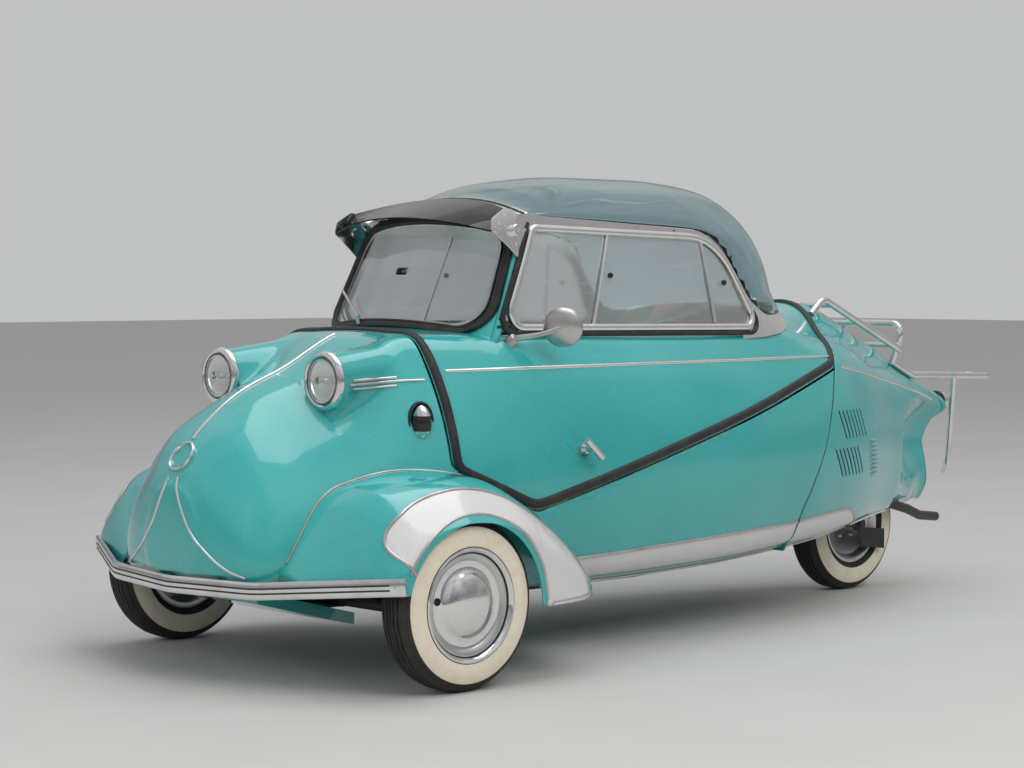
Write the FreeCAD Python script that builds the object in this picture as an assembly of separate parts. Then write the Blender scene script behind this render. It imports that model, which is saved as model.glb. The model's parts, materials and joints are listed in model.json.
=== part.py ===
import FreeCAD, Part
import math
import os

# Three-wheeled tandem cabin scooter with a tinted dome.
# Frame: +X forward, +Y to the car's left, +Z up, origin on the ground below the middle of the car.
# Sizes in millimetres. Stations called x_axle are measured forward from the front axle.

V = FreeCAD.Vector

# Driving dimensions
WHEELBASE = 2030.0
TRACK = 1080.0
BUMPER_FRONT = 417.0            # bumper face ahead of the front axle
RACK_REAR = 2728.0              # rack behind the front axle
FRONT_AXLE_X = (RACK_REAR - BUMPER_FRONT) / 2
WHEEL_R = 198.0                 # loaded tyre radius
TYRE_W = 100.0
RIM_R = 103.0                   # bead seat radius
RIM_W = 78.0
WALL = 7.0                      # body panel with its folded stiffening
SEAM = 6.0                      # gap between the fixed body, the canopy and the tail
SKIN_CLEAR = 0.4                # seat of what is screwed to the painted skin

AXLE_PIN_R = 12.0
KINGPIN_R = 11.0
RUN_CLEAR = 0.06                # radial play of shafts and pins
KINGPIN_Y = 480.0
EYE_R = 20.0
EYE_BOTTOM = 160.0
EYE_TOP = 220.0
KNUCKLE_PLATE = 10.0
PLATE_PLAY = 1.0
WEB_Y = 506.0                   # knuckle web outboard of the axle eye
WEB_T = 8.0
STEER_ARM = 90.0                # kingpin to tie rod pin
STEER_PIN_R = 5.0
TIE_ROD_R = 6.0
TIE_ROD_Y_IN = 16.0             # inner end of each tie rod beside the drop arm
COLUMN_R = 11.0
COLUMN_RAKE = 38.2              # degrees above the horizontal
COLUMN_LENGTH = 735.0
BAR_R = 11.0

REAR_AXLE_X = FRONT_AXLE_X - WHEELBASE
WHEEL_Y = TRACK / 2

LAMP_X, LAMP_Y, LAMP_Z, LAMP_R = 105.0, 203.0, 692.0, 66.0      # x_axle of the headlamp rim
SIDE_LAMP = (-78.0, 324.0, 592.0)       # x_axle, y and z on the flank
SIDE_LAMP_SIZE = (26.0, 46.0, 40.0)     # half sizes along the flank, upright and outward
SIDE_LAMP_TURN = 21.0                   # degrees the flank turns in towards the nose

HINGE_Y, HINGE_Z = -424.0, 690.0        # canopy hinge line, on the right
HINGE_STATIONS = (-480.0, -1180.0)      # x_axle of the canopy's two hinges
HINGE_BARREL = 7.0
TAIL_HINGE_X, TAIL_HINGE_Z = -1772.0, 856.0   # x_axle and height of the tail's hinge line
TAIL_HINGE_Y = 30.0                     # the fixed and the moving barrel meet here
TAIL_BARREL = 6.0
BARREL_L = 18.0

# Body sections: flat floor, arcs to the widest point, to the side and over the shoulder, then the crown.
# x_axle, z_bottom, y_floor, y_wide, z_wide, y_side, z_side, y_deck, z_deck, z_top
BODY_SECTIONS = [
    (396, 254, 88, 112, 300, 84, 415, 42, 452, 463),
    (380, 254, 160, 184, 288, 142, 420, 76, 482, 496),
    (350, 238, 232, 257, 272, 187, 440, 104, 522, 541),
    (300, 232, 268, 293, 282, 215, 490, 118, 574, 593),
    (200, 220, 286, 318, 305, 232, 530, 126, 622, 662),
    (80, 203, 303, 343, 345, 262, 570, 150, 668, 712),
    (-130, 182, 342, 392, 385, 345, 620, 245, 790, 803),
    (-365, 168, 370, 424, 420, 392, 650, 318, 792, 815),
    (-700, 166, 386, 440, 440, 412, 650, 334, 784, 818),
    (-1050, 172, 378, 438, 445, 404, 650, 330, 780, 822),
    (-1400, 188, 345, 410, 450, 368, 650, 298, 788, 845),
    (-1600, 200, 305, 370, 445, 336, 660, 236, 770, 856),
    (-1756, 213, 258, 322, 440, 288, 650, 180, 762, 863),
    (-2000, 229, 166, 218, 430, 196, 600, 124, 700, 779),
    (-2250, 242, 90, 126, 420, 114, 555, 78, 630, 668),
    (-2400, 246, 52, 76, 415, 68, 535, 46, 588, 602),
    (-2498, 250, 28, 42, 415, 38, 520, 26, 556, 566),
]

# Canopy's lower edge on the left side and its ends, x_axle and z
CANOPY_FRONT_X = -130.0
CANOPY_FRONT_Z = 492.0
V_X, V_Z = -365.0, 374.0
CANOPY_REAR_X, CANOPY_REAR_Z = -1590.0, 684.0
# Seam between the cabin and the tail from the crown down, x_axle and z
TAIL_SEAM = [(-1756, 863), (CANOPY_REAR_X, CANOPY_REAR_Z), (-1483, 494), (-1384, 304), (-1374, 213), (-1362, 100)]
SEAM_LEAN = 0.87                # run of the seam's line above the crown per unit of height

# Underside of the tail behind the wheel, x_axle and z: the scoop below the beak
SCOOP = [(-2400, 240), (-2414, 300), (-2400, 430), (-2498, 526)]
# Hollow in each flank of the tail below the beak: middle (x_axle, y, z) and half sizes
HOLLOW = (-2400.0, 180.0, 434.0)
HOLLOW_SIZE = (300.0, 164.0, 165.0)

# Glasshouse sections: side line from y_base, z_base to y_rail, z_rail, then one arc over the top.
# x_axle, y_base, z_base, y_rail, z_rail, z_top
GLASS_SECTIONS = [
    (-330, 321, 796, 291, 1092, 1096),
    (-470, 322, 788, 289, 1086, 1136),
    (-562, 324, 784, 288, 1081, 1172),
    (-848, 328, 774, 287, 1067, 1196),
    (-1075, 328, 768, 284, 1054, 1196),
    (-1202, 328, 769, 276, 1016, 1189),
    (-1301, 324, 774, 265, 966, 1176),
    (-1382, 308, 782, 246, 922, 1142),
    (-1452, 270, 796, 210, 890, 1072),
    (-1504, 204, 808, 156, 866, 984),
    (-1536, 112, 818, 86, 850, 902),
]
GLASS_T = 5.0
# Outer edge of the side window's frame and of the rail above it, x_axle, z and corner radius
WINDOW = [(-340, 806, 46), (-462, 1058, 26), (-1150, 1041, 200), (-1284, 795, 34)]
RAIL = [(-404, 1088, 8), (-1130, 1055, 200), (-1268, 880, 6), (-1246, 850, 20), (-1080, 960, 60),
        (-500, 990, 20), (-416, 1066, 6)]
FRAME_W = 14.0                  # width of the frame bead
FRAME_PROUD = 3.0

# Windscreen: base and top arcs, x_axle, y and z of the corner and of the middle
SCREEN_BASE = [(-322, 303, 812), (-236, 0, 832)]
SCREEN_TOP = [(-434, 284, 1058), (-372, 0, 1090)]
SCREEN_T = 5.0
GASKET = 14.0
# Aluminium header between the windscreen's gasket and the dome, low and high edge
HEADER_LOW = [(-432, 274, 1072), (-372, 0, 1099)]
HEADER_HIGH = [(-469.7, 276, 1091), (-469.7, 0, 1136)]
HEADER_T = 4.0

# Fender sections: from the body over the crest to the bead, out to the lip, then straight down.
# x_axle, y_in, z_in, y_crest, z_crest, y_bead, z_bead, y_lip, z_lip, z_low
FENDER_SECTIONS = [
    (308, 240, 262, 290, 262, 330, 252, 338, 244, 236),
    (262, 240, 345, 335, 338, 425, 292, 455, 262, 236),
    (196, 254, 418, 378, 430, 515, 384, 598, 296, 236),
    (150, 270, 446, 400, 464, 530, 420, 598, 348, 236),
    (0, 290, 474, 410, 488, 530, 455, 608, 385, 236),
    (-130, 310, 458, 410, 474, 540, 436, 608, 366, 200),
    (-240, 330, 416, 425, 426, 550, 376, 600, 318, 176),
    (-340, 350, 340, 440, 356, 545, 306, 585, 252, 176),
    (-430, 360, 250, 445, 268, 515, 236, 540, 210, 176),
    (-484, 370, 196, 420, 204, 455, 194, 470, 188, 176),
]
FENDER_T = 3.0
ARCH_R = 200.0
ARCH_X, ARCH_Z = -10.0, 185.0   # centre of the wheel arch, x_axle and height

# Border between the dome and its aluminium flange, x_axle and z
FLANGE_TOP = [(-1268, 878), (-1305, 852), (-1341, 840), (-1389, 840), (-1460, 856), (-1560, 864)]

# Upright edges of the sliding panes, x_axle at z 820 and at z 1042
PANE_EDGES = [(-650, -728), (-1102, -1078)]
PANE_GAP = 6.0

# Sun visor's front edge and its edge at the header, x_axle, y and z of corner and middle
VISOR_FRONT = [(-326, 297.4, 1045), (-268, 0, 1081)]
VISOR_BACK = [(-382, 292.3, 1096), (-434, 0, 1131)]
VISOR_T = 4.0
BRACKET_OUT = 2.0               # bracket plates outboard of the glasshouse line
# Bracket plate between the visor and the window frame, x_axle and z
BRACKET = [(-326, 1045), (-328, 1071), (-376, 1099), (-412, 1090), (-424, 1055), (-448, 1050),
           (-414, 975), (-380, 1004)]

WELL_HALF = 175.0               # half width of the tail's opening round the wheel
# Louvres in the tail's sides: x_axle of the first one's foot and top, z of its foot
LOUVRES = [(-1593, -1558, 486), (-1578, -1523, 383)]
LOUVRE_COUNT = 7
LOUVRE_PITCH = 22.8
LOUVRE_H = 81.0
LOUVRE_W = 7.0

RACK_R = 10.0
RACK_RAIL = [(-1730, 128, 828), (-1782, 128, 872), (-2156, 116, 716)]
# Cross bars of the rack's ladder, x_axle and their height above the rails' line
RACK_BARS = [(-1830, 0), (-1968, 6), (-2130, 5)]

# Tray below the nose: x_axle of its ends, z of its floor at them, half width and lip
TRAY = (304.0, 20.0, 190.0, 116.0, 200.0)
TRAY_LIP = 28.0
TRAY_T = 3.0

# Canopy seal over the seam
SEAL_W = 22.0
SEAL_PROUD = 4.0

# Seats, x_axle of the front edge and the back, half width and heights
FRONT_SEAT = {"front": -520.0, "back": -930.0, "half": 210.0, "base": 250.0, "top": 350.0, "head": 690.0}
REAR_SEAT = {"front": -1060.0, "back": -1322.0, "half": 285.0, "base": 250.0, "top": 370.0, "head": 700.0}
SEAT_PAD = 80.0
CUSHION_BACK = (71.5, 63.6)     # rear edge of the front and the rear cushion ahead of the back

BULKHEAD_X = -1358.0            # x_axle of the wall ahead of the engine
BULKHEAD_T = 8.0
BULKHEAD_TOP = 600.0

# Engine block, x_axle of its ends, y of its sides, z of its base and top
ENGINE = (-1700.0, -1450.0, -150.0, 150.0, 246.3, 480.0)
SWING_Y = 62.0
SWING_PIVOT_X = -1640.0
SWING_PIVOT_Z = 232.0
SWING_R = 12.0

CHASSIS_R = 13.0
CHASSIS_Y = 150.0
CHASSIS_Z = 151.0
# Left rail of the chassis, x_axle, y and z
CHASSIS_RAIL = [(60, 90, 157), (-150, 132, 161), (-400, CHASSIS_Y, CHASSIS_Z), (-980, CHASSIS_Y, CHASSIS_Z),
                (-1400, CHASSIS_Y, 171), (-1660, 120, 222)]
CHASSIS_BARS = (-420.0, -960.0)
CHASSIS_FOOT = (25.0, 12.0, 40.0)       # half length, half width and height of the feet under the floor

# Bumper, x_axle, y and z along its left half
BUMPER_H = 40.0
BUMPER_T = 14.0
BUMPER = [(205, 604, 258), (372, 272, 232), (BUMPER_FRONT - BUMPER_T / 2, 0, 228)]
BUMPER_IRON = (392.0, 100.0, 130.0, 212.0, 230.0)   # x_axle of its front, y and z of its edges


def at(x_axle):
    """Station measured from the front axle, in the part's frame."""
    return FRONT_AXLE_X + x_axle


def box(x0, x1, y0, y1, z0, z1):
    return Part.makeBox(x1 - x0, y1 - y0, z1 - z0, V(x0, y0, z0))


def rod(start, end, radius):
    start, end = V(*start), V(*end)
    return Part.makeCylinder(radius, (end - start).Length, start, end - start)


def fuse(shapes):
    first = shapes[0]
    rest = shapes[1:]
    return first.fuse(rest).removeSplitter() if rest else first


def rounded_path(points, bend):
    """Straight runs joined by tangent arcs of the given radius."""
    points = [V(*p) for p in points]
    edges = []
    start = points[0]
    for before, corner, after in zip(points, points[1:], points[2:]):
        u = (before - corner).normalize()
        w = (after - corner).normalize()
        half = u.getAngle(w) / 2
        cut = min(bend / math.tan(half), 0.45 * (before - corner).Length, 0.45 * (after - corner).Length)
        radius = cut * math.tan(half)
        a, b = corner + u * cut, corner + w * cut
        middle = (u + w).normalize()
        m = corner + middle * (radius / math.sin(half) - radius)
        edges.append(Part.LineSegment(start, a).toShape())
        edges.append(Part.Arc(a, m, b).toShape())
        start = b
    edges.append(Part.LineSegment(start, points[-1]).toShape())
    return Part.Wire(edges)


def tube(points, radius, bend):
    path = rounded_path(points, bend)
    first = path.Edges[0]
    normal = first.tangentAt(first.FirstParameter)
    ring = Part.Wire(Part.makeCircle(radius, V(*points[0]), normal))
    return path.makePipeShell([ring], True, False)


def polygon_prism(points_xz, y0, y1):
    """Plate with the given outline in the XZ plane, from y0 to y1."""
    corners = [V(x, y0, z) for x, z in points_xz]
    return Part.Face(Part.makePolygon(corners + corners[:1])).extrude(V(0, y1 - y0, 0))


def revolved(profile, centre, axis):
    """Solid turned from (radius, along) points about an axis through the centre."""
    axis = V(*axis).normalize()
    side = V(0, 0, 1)
    corners = [V(*centre) + side * r + axis * a for r, a in profile]
    face = Part.Face(Part.makePolygon(corners + corners[:1]))
    return face.revolve(V(*centre), axis, 360)


def mirror_y(shape):
    return shape.mirror(V(0, 0, 0), V(0, 1, 0))


def on_side(shape, side):
    return shape if side > 0 else mirror_y(shape)


def arc_edge(x, a, b, centre, radius, side):
    """Arc from a to b about a centre, all (y, z), mirrored for side -1."""
    m = ((a[0] + b[0]) / 2 - centre[0], (a[1] + b[1]) / 2 - centre[1])
    k = radius / math.hypot(*m)
    m = (centre[0] + m[0] * k, centre[1] + m[1] * k)
    return Part.Arc(V(x, side * a[0], a[1]), V(x, side * m[0], m[1]), V(x, side * b[0], b[1])).toShape()


def body_wire(row, inset):
    """Closed body section, drawn in by the inset."""
    x_axle, z_bottom, y_floor, y_wide, z_wide, y_side, z_side, y_deck, z_deck, z_top = row
    x = at(x_axle)
    floor = (y_floor - inset, z_bottom + inset)
    wide = (y_wide - inset, z_wide)
    flank = (y_side - 0.95 * inset, z_side - 0.3 * inset)
    deck = (y_deck - 0.6 * inset, z_deck - 0.8 * inset)

    def level_centre(p):
        """Centre of the arc through p that is upright at the widest point."""
        rise = p[1] - wide[1]
        return ((wide[0] ** 2 - p[0] ** 2 - rise ** 2) / (2 * (wide[0] - p[0])), wide[1])

    low = level_centre(floor)
    high = level_centre(flank)
    out = (flank[0] - high[0], flank[1] - high[1])
    reach = math.hypot(*out)
    inward = (-out[0] / reach, -out[1] / reach)
    chord = (deck[0] - flank[0], deck[1] - flank[1])
    k = (chord[0] ** 2 + chord[1] ** 2) / (2 * (chord[0] * inward[0] + chord[1] * inward[1]))
    shoulder = (flank[0] + inward[0] * k, flank[1] + inward[1] * k)
    spans = [(floor, wide, low, wide[0] - low[0]), (wide, flank, high, reach), (flank, deck, shoulder, abs(k))]
    edges = [Part.LineSegment(V(x, -floor[0], floor[1]), V(x, floor[0], floor[1])).toShape()]
    edges += [arc_edge(x, a, b, c, r, 1) for a, b, c, r in spans]
    edges.append(Part.Arc(V(x, deck[0], deck[1]), V(x, 0, z_top - inset), V(x, -deck[0], deck[1])).toShape())
    edges += [arc_edge(x, b, a, c, r, -1) for a, b, c, r in reversed(spans)]
    return Part.Wire(edges)


def body_loft(inset):
    """Body drawn in (or out) all round, its ends too."""
    solid = Part.makeLoft([body_wire(row, inset) for row in BODY_SECTIONS], True, True)
    if inset > 0:
        front, rear = BODY_SECTIONS[0][0], BODY_SECTIONS[-1][0]
        solid = solid.common(box(at(rear) + inset, at(front) - inset, -700, 700, 0, 1400))
    return solid


def floor_top(x_axle):
    """Height of the cabin floor at a station."""
    for ahead, behind in zip(BODY_SECTIONS, BODY_SECTIONS[1:]):
        if ahead[0] >= x_axle >= behind[0]:
            share = (ahead[0] - x_axle) / (ahead[0] - behind[0])
            return ahead[1] + share * (behind[1] - ahead[1]) + WALL
    return WALL


def seam_above(height):
    """x_axle of the tail seam's line carried on above the crown."""
    x, z = TAIL_SEAM[0]
    return x - (height - z) * SEAM_LEAN


def canopy_region(grow):
    """Space above the canopy's lower edge, left and right halves, grown by a gap."""
    top = 1500.0
    far = 900.0
    over = 1.0
    rear_top = seam_above(top)
    left = [(CANOPY_FRONT_X, top), (CANOPY_FRONT_X, CANOPY_FRONT_Z), (V_X, V_Z),
            (CANOPY_REAR_X, CANOPY_REAR_Z), (rear_top, top)]
    right = [(CANOPY_FRONT_X, top), (CANOPY_FRONT_X, HINGE_Z), (CANOPY_REAR_X - 3, HINGE_Z), (rear_top, top)]
    parts = []
    for outline, y0, y1 in ((left, -over if grow else 0, far), (right, -far, over if grow else 0)):
        corners = [V(at(x), y0, z) for x, z in outline]
        wire = Part.makePolygon(corners + corners[:1])
        if grow:
            wire = wire.makeOffset2D(grow, 2)
        parts.append(Part.Face(wire).extrude(V(0, y1 - y0, 0)))
    return fuse(parts)


def tail_region(grow):
    """Space behind the tail seam, grown forward by a gap."""
    reach, top = -2700.0, 1160.0
    foot = TAIL_SEAM[-1][1]
    outline = TAIL_SEAM[:0:-1] + [(seam_above(top), top), (reach, top), (reach, foot)]
    corners = [V(at(x), -900, z) for x, z in outline]
    wire = Part.makePolygon(corners + corners[:1])
    if grow:
        wire = wire.makeOffset2D(grow, 2)
    return Part.Face(wire).extrude(V(0, 1800, 0))


def nacelle(side, inset):
    """Headlamp housing that fairs back into the scuttle."""
    front = Part.Wire(Part.makeCircle(LAMP_R - inset, V(at(LAMP_X), side * LAMP_Y, LAMP_Z), V(1, 0, 0)))
    back = Part.Wire(Part.makeCircle(LAMP_R - 4 - inset, V(at(CANOPY_FRONT_X), side * (LAMP_Y - 14), 726), V(1, 0, 0)))
    return Part.makeLoft([back, front], True, True)


def make_body():
    """Painted shells: nose, tub, canopy panels and tail."""
    outer = body_loft(0.0)
    inner = body_loft(WALL)
    shell = outer.cut(inner)
    canopy_gap = canopy_region(SEAM)
    tail_gap = tail_region(SEAM)
    split_x = at(CANOPY_FRONT_X)
    front_half = box(split_x, at(500), -700, 700, 0, 1400)
    rear_half = box(at(-2600), split_x, -700, 700, 0, 1400)

    nacelles = [nacelle(side, 0.0) for side in (1, -1)]
    hollows = [nacelle(side, WALL) for side in (1, -1)]
    nose = outer.common(front_half).fuse(nacelles).cut(inner.fuse(hollows)).cut(canopy_gap)
    slot = box(at(-120), at(-8), -62, 62, 150, 260)
    nose = nose.cut(slot)

    tub = shell.common(rear_half).cut(canopy_gap).cut(tail_gap)
    return {"nose_shell": nose, "tub_shell": tub}, outer, inner, shell


def make_canopy(shell):
    panel = shell.common(canopy_region(0.0))
    # Opening under the glasshouse and behind the windscreen
    opening = glass_loft(GLASS_T + 6.0, 700.0)
    screen_hole = polygon_prism([(at(-262), 600), (at(-262), 1000), (at(-480), 1000), (at(-480), 600)], -286, 286)
    return panel.cut(opening).cut(screen_hole)


def glass_wire(row, inset, floor_z):
    """Glasshouse section closed along a floor line."""
    x_axle, y_base, z_base, y_rail, z_rail, z_top = row
    x = at(x_axle)
    slope = (y_base - y_rail) / (z_rail - z_base)
    low_z = floor_z if floor_z else z_base
    low_y = y_base + slope * (z_base - low_z)
    base, rail, top = (low_y - inset, low_z), (y_rail - inset, z_rail - 0.3 * inset), z_top - inset
    edges = [Part.LineSegment(V(x, -base[0], base[1]), V(x, base[0], base[1])).toShape(),
             Part.LineSegment(V(x, base[0], base[1]), V(x, rail[0], rail[1])).toShape(),
             Part.Arc(V(x, rail[0], rail[1]), V(x, 0, top), V(x, -rail[0], rail[1])).toShape(),
             Part.LineSegment(V(x, -rail[0], rail[1]), V(x, -base[0], base[1])).toShape()]
    return Part.Wire(edges)


def glass_loft(inset, floor_z):
    return Part.makeLoft([glass_wire(row, inset, floor_z) for row in GLASS_SECTIONS], True, True)


def rounded_loop(corners, y):
    """Closed outline in the XZ plane from x_axle, z and corner radius."""
    points = [V(at(x), y, z) for x, z, _ in corners]
    ends, arcs = [], []
    count = len(points)
    for i in range(count):
        corner = points[i]
        u = (points[i - 1] - corner).normalize()
        w = (points[(i + 1) % count] - corner).normalize()
        half = u.getAngle(w) / 2
        radius = corners[i][2]
        cut = radius / math.tan(half)
        middle = (u + w).normalize()
        a, b = corner + u * cut, corner + w * cut
        arcs.append(Part.Arc(a, corner + middle * (radius / math.sin(half) - radius), b).toShape())
        ends.append((a, b))
    edges = []
    for i in range(count):
        edges.append(arcs[i])
        edges.append(Part.LineSegment(ends[i][1], ends[(i + 1) % count][0]).toShape())
    return Part.Wire(edges)


def side_prism(corners, shrink, side):
    """Block through one side of the glasshouse with a rounded outline."""
    wire = rounded_loop(corners, side * 120.0)
    if shrink:
        wire = wire.makeOffset2D(-shrink, 0)
    return Part.Face(wire).extrude(V(0, side * 300, 0))


def make_fender(outer, side):
    """Front wing as a thin shell with its wheel arch open to the side and below."""
    def wire(row, inset, drop):
        x_axle, y_in, z_in, y_crest, z_crest, y_bead, z_bead, y_lip, z_lip, z_low = row
        x = at(x_axle)
        a = V(x, y_in, z_in - inset)
        m = V(x, y_crest, z_crest - inset)
        b = V(x, y_bead - 0.7 * inset, z_bead - 0.7 * inset)
        lip = V(x, y_lip - inset, z_lip - 0.4 * inset)
        c = V(x, y_lip - inset, z_low - drop)
        d = V(x, y_in, z_low - drop)
        return Part.Wire([Part.Arc(a, m, b).toShape(), Part.LineSegment(b, lip).toShape(),
                          Part.LineSegment(lip, c).toShape(), Part.LineSegment(c, d).toShape(),
                          Part.LineSegment(d, a).toShape()])
    solid = Part.makeLoft([wire(r, 0, 0) for r in FENDER_SECTIONS], True, True)
    hollow = Part.makeLoft([wire(r, FENDER_T, 2.0) for r in FENDER_SECTIONS], True, True)
    arch = rod((at(ARCH_X), 380, ARCH_Z), (at(ARCH_X), 700, ARCH_Z), ARCH_R)
    wing = solid.cut(hollow).cut(arch).cut(outer)
    wing = max(wing.Solids, key=lambda s: s.Volume)
    return on_side(wing, side)


def make_bumper():
    left = [(at(x), y, z) for x, y, z in BUMPER]
    right = [(x, -y, z) for x, y, z in reversed(left[:-1])]
    path = rounded_path(left + right, 160.0)
    start = V(*left[0])
    along = path.Edges[0].tangentAt(path.Edges[0].FirstParameter)
    out = V(along.y, -along.x, 0).normalize() * (BUMPER_T / 2)
    up = V(0, 0, BUMPER_H / 2)
    corners = [start - out - up, start + out - up, start + out + up, start - out + up]
    section = Part.makePolygon(corners + corners[:1])
    blade = path.makePipeShell([section], True, False)
    front, y0, y1, z0, z1 = BUMPER_IRON
    iron = box(at(TRAY[0]) + SKIN_CLEAR, at(front), y0, y1, z0, z1)
    return fuse([blade, iron, mirror_y(iron)])


def wheel_parts(x, y, out):
    """Tyre, rim and hubcap of one wheel; out is +1 or -1, the side its face shows."""
    centre = (x, y, WHEEL_R)
    w = TYRE_W / 2
    tread_r = WHEEL_R
    bead = RIM_W / 2 - 3.3
    half = [(RIM_R + 0.3, bead), (RIM_R + 12.4, bead), (RIM_R + 16, w - 6), (RIM_R + 30, w - 1), (RIM_R + 44, w),
            (tread_r - 34, w - 2), (tread_r - 20, w - 6), (tread_r - 9, w - 13), (tread_r - 2, w - 22), (tread_r, w - 32)]
    section = [(r, -a) for r, a in half] + [(r, a) for r, a in reversed(half)]
    tyre = revolved(section, centre, (0, out, 0))
    h = RIM_W / 2
    rim = revolved([(RIM_R - 6, -h), (RIM_R + 12, -h), (RIM_R + 12, -h + 3), (RIM_R, -h + 3), (RIM_R, h - 3),
                    (RIM_R + 12, h - 3), (RIM_R + 12, h), (RIM_R - 6, h), (RIM_R - 10, h - 8), (RIM_R - 22, h - 14),
                    (60, h - 24), (30, h - 24), (30, h - 19), (AXLE_PIN_R + RUN_CLEAR, h - 19),
                    (AXLE_PIN_R + RUN_CLEAR, -h + 14), (26, -h + 14), (26, h - 34), (60, h - 34), (RIM_R - 22, h - 22),
                    (RIM_R - 16, h - 22), (RIM_R - 6, -h + 8)], centre, (0, out, 0))
    cap = revolved([(62, h - 22.7), (62, h - 19), (54, h - 12), (38, h), (20, h + 7), (0, h + 9), (0, h - 10),
                    (52, h - 17), (57, h - 22.7)], centre, (0, out, 0))
    return tyre, rim, cap


def make_knuckle(side):
    """Kingpin, yoke, stub axle and steering arm."""
    kx, ky = FRONT_AXLE_X, KINGPIN_Y
    low0, low1 = EYE_BOTTOM - PLATE_PLAY - KNUCKLE_PLATE, EYE_BOTTOM - PLATE_PLAY
    high0, high1 = EYE_TOP + PLATE_PLAY, EYE_TOP + PLATE_PLAY + KNUCKLE_PLATE
    pin = rod((kx, ky, low0), (kx, ky, high1), KINGPIN_R)
    plates = [rod((kx, ky, a), (kx, ky, b), EYE_R) for a, b in ((low0, low1), (high0, high1))]
    links = [box(kx - EYE_R, kx + EYE_R, ky, WEB_Y, a, b) for a, b in ((low0, low1), (high0, high1))]
    web = box(kx - EYE_R, kx + EYE_R, WEB_Y - 2, WEB_Y + WEB_T, low0, high1)
    stub = rod((kx, WEB_Y, WHEEL_R), (kx, WHEEL_Y + RIM_W / 2 - 20, WHEEL_R), AXLE_PIN_R)
    arm = fuse([box(kx - STEER_ARM, kx, ky - 10, ky + 10, low0, low1),
                rod((kx - STEER_ARM, ky, low0), (kx - STEER_ARM, ky, low1), 12)])
    pin_low = rod((kx - STEER_ARM, ky, low0 - 22), (kx - STEER_ARM, ky, low0), STEER_PIN_R)
    return on_side(fuse([pin] + plates + links + [web, stub, arm, pin_low]), side)


def tie_rod_z():
    return EYE_BOTTOM - PLATE_PLAY - KNUCKLE_PLATE - 11.0


def make_tie_rod(side):
    x, z = FRONT_AXLE_X - STEER_ARM, tie_rod_z()
    bar = rod((x, TIE_ROD_Y_IN + 8, z), (x, KINGPIN_Y - 6, z), TIE_ROD_R)
    outer_eye = rod((x, KINGPIN_Y, z - 8), (x, KINGPIN_Y, z + 8), 10)
    inner_eye = rod((x, TIE_ROD_Y_IN, z - 8), (x, TIE_ROD_Y_IN, z + 8), 10)
    hole = rod((x, KINGPIN_Y, z - 12), (x, KINGPIN_Y, z + 12), STEER_PIN_R + RUN_CLEAR)
    return on_side(fuse([bar, outer_eye, inner_eye]).cut(hole), side)


def column_axis():
    rake = math.radians(COLUMN_RAKE)
    return V(-math.cos(rake), 0, math.sin(rake))


def drop_arm_end():
    return V(FRONT_AXLE_X - STEER_ARM, 0, tie_rod_z() + TIE_ROD_R + 20)


def column_foot():
    a = column_axis()
    return drop_arm_end() - V(-a.z, 0, a.x) * STEER_ARM


def make_handlebar():
    """Steering bar, its raked column and the drop arm at the foot."""
    a = column_axis()
    down = V(-a.z, 0, a.x)
    arm_end = drop_arm_end()
    foot = column_foot()
    top = foot + a * COLUMN_LENGTH
    column = Part.makeCylinder(COLUMN_R, COLUMN_LENGTH, foot, a)
    arm = rod(tuple(foot), tuple(arm_end), 9)
    eye = rod((arm_end.x, -20, arm_end.z), (arm_end.x, 20, arm_end.z), 9)
    up = V(-down.x, 0, -down.z)
    left = [top, top + V(0, 70, 0), top + V(0, 150, 0) + up * 60, top + V(0, 175, 0) + up * 150 - a * 10]
    bar = tube([tuple(p) for p in left], BAR_R, 40)
    boss = Part.makeCylinder(24, 30, top - a * 15, a)
    return fuse([column, arm, eye, bar, mirror_y(bar), boss])


def make_front_axle():
    """Cross tubes out to the kingpin eyes, below the floor."""
    z = EYE_BOTTOM + 14.0
    eye = rod((FRONT_AXLE_X, KINGPIN_Y, EYE_BOTTOM), (FRONT_AXLE_X, KINGPIN_Y, EYE_TOP), EYE_R)
    arms = [rod((FRONT_AXLE_X + dx, 110, z), (FRONT_AXLE_X + dx * 0.1, KINGPIN_Y - 6, z), 12) for dx in (60, -10)]
    bore = rod((FRONT_AXLE_X, KINGPIN_Y, 0), (FRONT_AXLE_X, KINGPIN_Y, 400), KINGPIN_R + RUN_CLEAR)
    half = fuse([eye] + arms).cut(bore)
    beam = box(FRONT_AXLE_X - 25, FRONT_AXLE_X + 90, -120, 120, z - 16, z + 12)
    return fuse([beam, half, mirror_y(half)])


def crescent(corner, middle, deep, thick):
    """Closed band behind the arc through a corner, the middle and the mirrored corner."""
    xc, yc, zc = corner
    xm, _, zm = middle
    ahead = V(xm - xc, 0, zm - zc).normalize()
    a, m, b = V(at(xc), yc, zc), V(at(xm), 0, zm), V(at(xc), -yc, zc)
    a, m, b = [p - ahead * deep for p in (a, m, b)]
    back = [p - ahead * thick for p in (a, m, b)]
    return Part.Wire([Part.Arc(a, m, b).toShape(), Part.LineSegment(b, back[2]).toShape(),
                      Part.Arc(back[2], back[1], back[0]).toShape(), Part.LineSegment(back[0], a).toShape()])


def bent_strip(first, second, thick):
    """Sheet between two arcs across the car, each given by its corner and its middle."""
    arcs = []
    for (xc, yc, zc), (xm, _, zm) in (first, second):
        arcs.append(Part.Arc(V(at(xc), yc, zc), V(at(xm), 0, zm), V(at(xc), -yc, zc)).toShape())
    solid = Part.makeRuledSurface(*arcs).extrude(V(0, 0, -thick))
    if solid.Volume < 0:
        solid.reverse()
    return solid


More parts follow.
